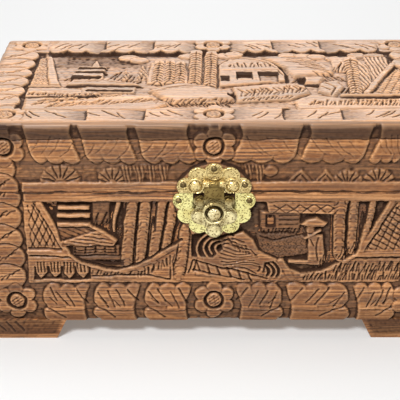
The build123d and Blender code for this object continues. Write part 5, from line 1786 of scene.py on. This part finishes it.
# %% [markdown]
# Red felt lines the floor of the case and the three cells of the tray. Each pad is one piece of
# cloth cut a little smaller than its cell and laid in loose, so it is a fine grid with a gentle
# wave, thickened.

# %% Felt
FELT_STEP = 2.5
FELT_BODY = 0.8


def felt_pad(name, low, high, body, stands_for):
    """One pad between two corners, in millimetres."""
    size = high - low
    bm = bmesh.new()
    rows, columns = round(size[0] / FELT_STEP), round(size[1] / FELT_STEP)
    bmesh.ops.create_grid(bm, x_segments=rows, y_segments=columns, size=0.5)
    thick = FELT_BODY * size[2]
    for vertex in bm.verts:
        x, y = (vertex.co.x + 0.5) * size[0], (vertex.co.y + 0.5) * size[1]
        wave = 0.5 + 0.25 * math.sin(0.11 * x + 1.3) * math.cos(0.13 * y)
        wave += 0.25 * math.sin(0.07 * (x - y))
        vertex.co = Vector((low[0] + x, low[1] + y, low[2] + thick + wave * (size[2] - thick))) * MM
    bmesh.ops.solidify(bm, geom=bm.faces, thickness=thick * MM)
    bmesh.ops.recalc_face_normals(bm, faces=bm.faces)
    mesh = bpy.data.meshes.new(name)
    bm.to_mesh(mesh)
    bm.free()
    pad = piece(name, [mesh], felt, body, [stands_for])


floor_low, floor_high = box_mm("floor_felt")
felt_pad("floor_pad", floor_low, floor_high, "case", "floor_felt")
pads_low, pads_high = box_mm("tray_felt")
FELT_GAP = pads_low[0] - box_mm("tray_left")[1][0]
left_divider, right_divider = box_mm("tray_divider_left"), box_mm("tray_divider_right")
cells = (
    ("tray_pad_left", pads_low[0], left_divider[0][0] - FELT_GAP),
    ("tray_pad_middle", left_divider[1][0] + FELT_GAP, right_divider[0][0] - FELT_GAP),
    ("tray_pad_right", right_divider[1][0] + FELT_GAP, pads_high[0]),
)
for name, left, right in cells:
    low, high = np.array([left, *pads_low[1:]]), np.array([right, *pads_high[1:]])
    felt_pad(name, low, high, "tray", "tray_felt")

# %% [markdown]
# The stage is a plain pale floor, as in a small photo tent. It could be lit by the lamps alone,
# but then the shadow under the box is too dark and cold. So it also glows a little in a warm
# tone, only for rays from the camera and off shiny faces, and the wood isn't lit from below.

# %% Stage
FLOOR_HALF = 4.0
FLOOR_COLOUR = (0.615, 0.642, 0.662, 1)
GLOW_COLOUR, GLOW = (1.0, 0.88, 0.78, 1), 0.22
floor_bm = bmesh.new()
bmesh.ops.create_grid(floor_bm, x_segments=1, y_segments=1, size=FLOOR_HALF)
floor_mesh = bpy.data.meshes.new("floor")
floor_bm.to_mesh(floor_mesh)
floor_bm.free()
floor = bpy.data.objects.new("floor", floor_mesh)
bpy.context.scene.collection.objects.link(floor)
floor_work = Finish("floor_work", Roughness=0.9)
floor_work.use(Base_Color=FLOOR_COLOUR)
direct_rays = ("Camera", "Glossy", "Transmission")
seen, shiny, through = (
    floor_work.node("ShaderNodeLightPath", out=f"Is {ray} Ray") for ray in direct_rays
)
strength = (seen + shiny + through) * GLOW
glow = floor_work.node("ShaderNodeEmission", {}, {"Color": GLOW_COLOUR, "Strength": strength})
plain = Tone(floor_work, floor_work.shader.outputs[0])
mixed = floor_work.node("ShaderNodeAddShader", {}, {0: plain, 1: glow})
floor_work.feed(floor_work.tree.nodes["Material Output"].inputs["Surface"], mixed)
floor_mesh.materials.append(floor_work.material)
print("floor is", 2 * FLOOR_HALF, "m wide")

# %% [markdown]
# A white sky fills the shadows faintly and is seen bright. Three soft boxes light the box: the
# key at the front left, a broad one overhead, and one behind that brings up the lid's far edge.
# One small strong lamp would be simpler, but it would leave the cuts black.

# %% Light
world = bpy.data.worlds.new("tent")
bpy.context.scene.world = world
world.use_nodes = True
sky = world.node_tree.nodes["Background"]
sky.inputs["Color"].default_value = (1.0, 0.99, 0.98, 1)
rays = world.node_tree.nodes.new("ShaderNodeLightPath")
level = world.node_tree.nodes.new("ShaderNodeMapRange")
SKY_LIGHT, SKY_SEEN = 0.17, 0.9
level.inputs["To Min"].default_value = SKY_LIGHT
level.inputs["To Max"].default_value = SKY_SEEN
direct = world.node_tree.nodes.new("ShaderNodeMath")
direct.operation = "ADD"
world.node_tree.links.new(rays.outputs["Is Camera Ray"], direct.inputs[0])
world.node_tree.links.new(rays.outputs["Is Glossy Ray"], direct.inputs[1])
clear = world.node_tree.nodes.new("ShaderNodeMath")
clear.operation = "ADD"
world.node_tree.links.new(direct.outputs[0], clear.inputs[0])
world.node_tree.links.new(rays.outputs["Is Transmission Ray"], clear.inputs[1])
world.node_tree.links.new(clear.outputs[0], level.inputs["Value"])
world.node_tree.links.new(level.outputs["Result"], sky.inputs["Strength"])


def soft_lamp(name, place, aim, size, energy):
    """A rectangular soft box that faces a point."""
    data = bpy.data.lights.new(name, "AREA")
    data.shape = "RECTANGLE"
    data.size, data.size_y = size
    data.energy = energy
    thing = bpy.data.objects.new(name, data)
    thing.location = place
    thing.rotation_euler = (Vector(aim) - Vector(place)).to_track_quat("-Z", "Y").to_euler()
    bpy.context.scene.collection.objects.link(thing)


soft_lamp("key", (-0.4, -0.85, 1.15), (0, -0.05, 0.1), (0.4, 0.25), 18.5)
soft_lamp("overhead", (0.1, 0.15, 1.25), (0, 0, 0.1), (0.8, 0.5), 5.0)
soft_lamp("behind", (0.0, 1.3, 0.85), (0, 0, 0.15), (1.2, 0.5), 8.5)
print("sky light", SKY_LIGHT)

# %% [markdown]
# The camera stands where the photograph was taken: a little above the box, with a long lens.
# Its place and its three angles come from a fit to the straight edges of the box, so that the
# picture can be laid over the photograph.

# %% Camera
SENSOR = 36.0
EYE = Vector((-4.7, -746.5, 460.1)) * MM
PITCH, YAW, ROLL = (math.radians(a) for a in (27.71, -0.40, -0.31))
FOCAL_PIXELS, FRAME_PIXELS = 1137.6, 400
ahead = Vector((math.sin(YAW) * math.cos(PITCH), math.cos(YAW) * math.cos(PITCH), -math.sin(PITCH)))
right = Vector((math.cos(YAW), -math.sin(YAW), 0))
above = right.cross(ahead)
tilt_right = right * math.cos(ROLL) + above * math.sin(ROLL)
tilt_above = above * math.cos(ROLL) - right * math.sin(ROLL)
camera_data = bpy.data.cameras.new("camera")
camera_data.sensor_width = SENSOR
camera_data.sensor_height = SENSOR
camera_data.lens = FOCAL_PIXELS / FRAME_PIXELS * SENSOR
camera = bpy.data.objects.new("camera", camera_data)
pose = Matrix((tilt_right, tilt_above, -ahead)).transposed().to_4x4()
camera.matrix_world = Matrix.Translation(EYE) @ pose
bpy.context.scene.collection.objects.link(camera)
bpy.context.scene.camera = camera
bpy.context.scene.view_settings.view_transform = "Standard"
print("camera lens", round(camera_data.lens, 1), "mm")

# %% [markdown]

# %% End
print("scene built")
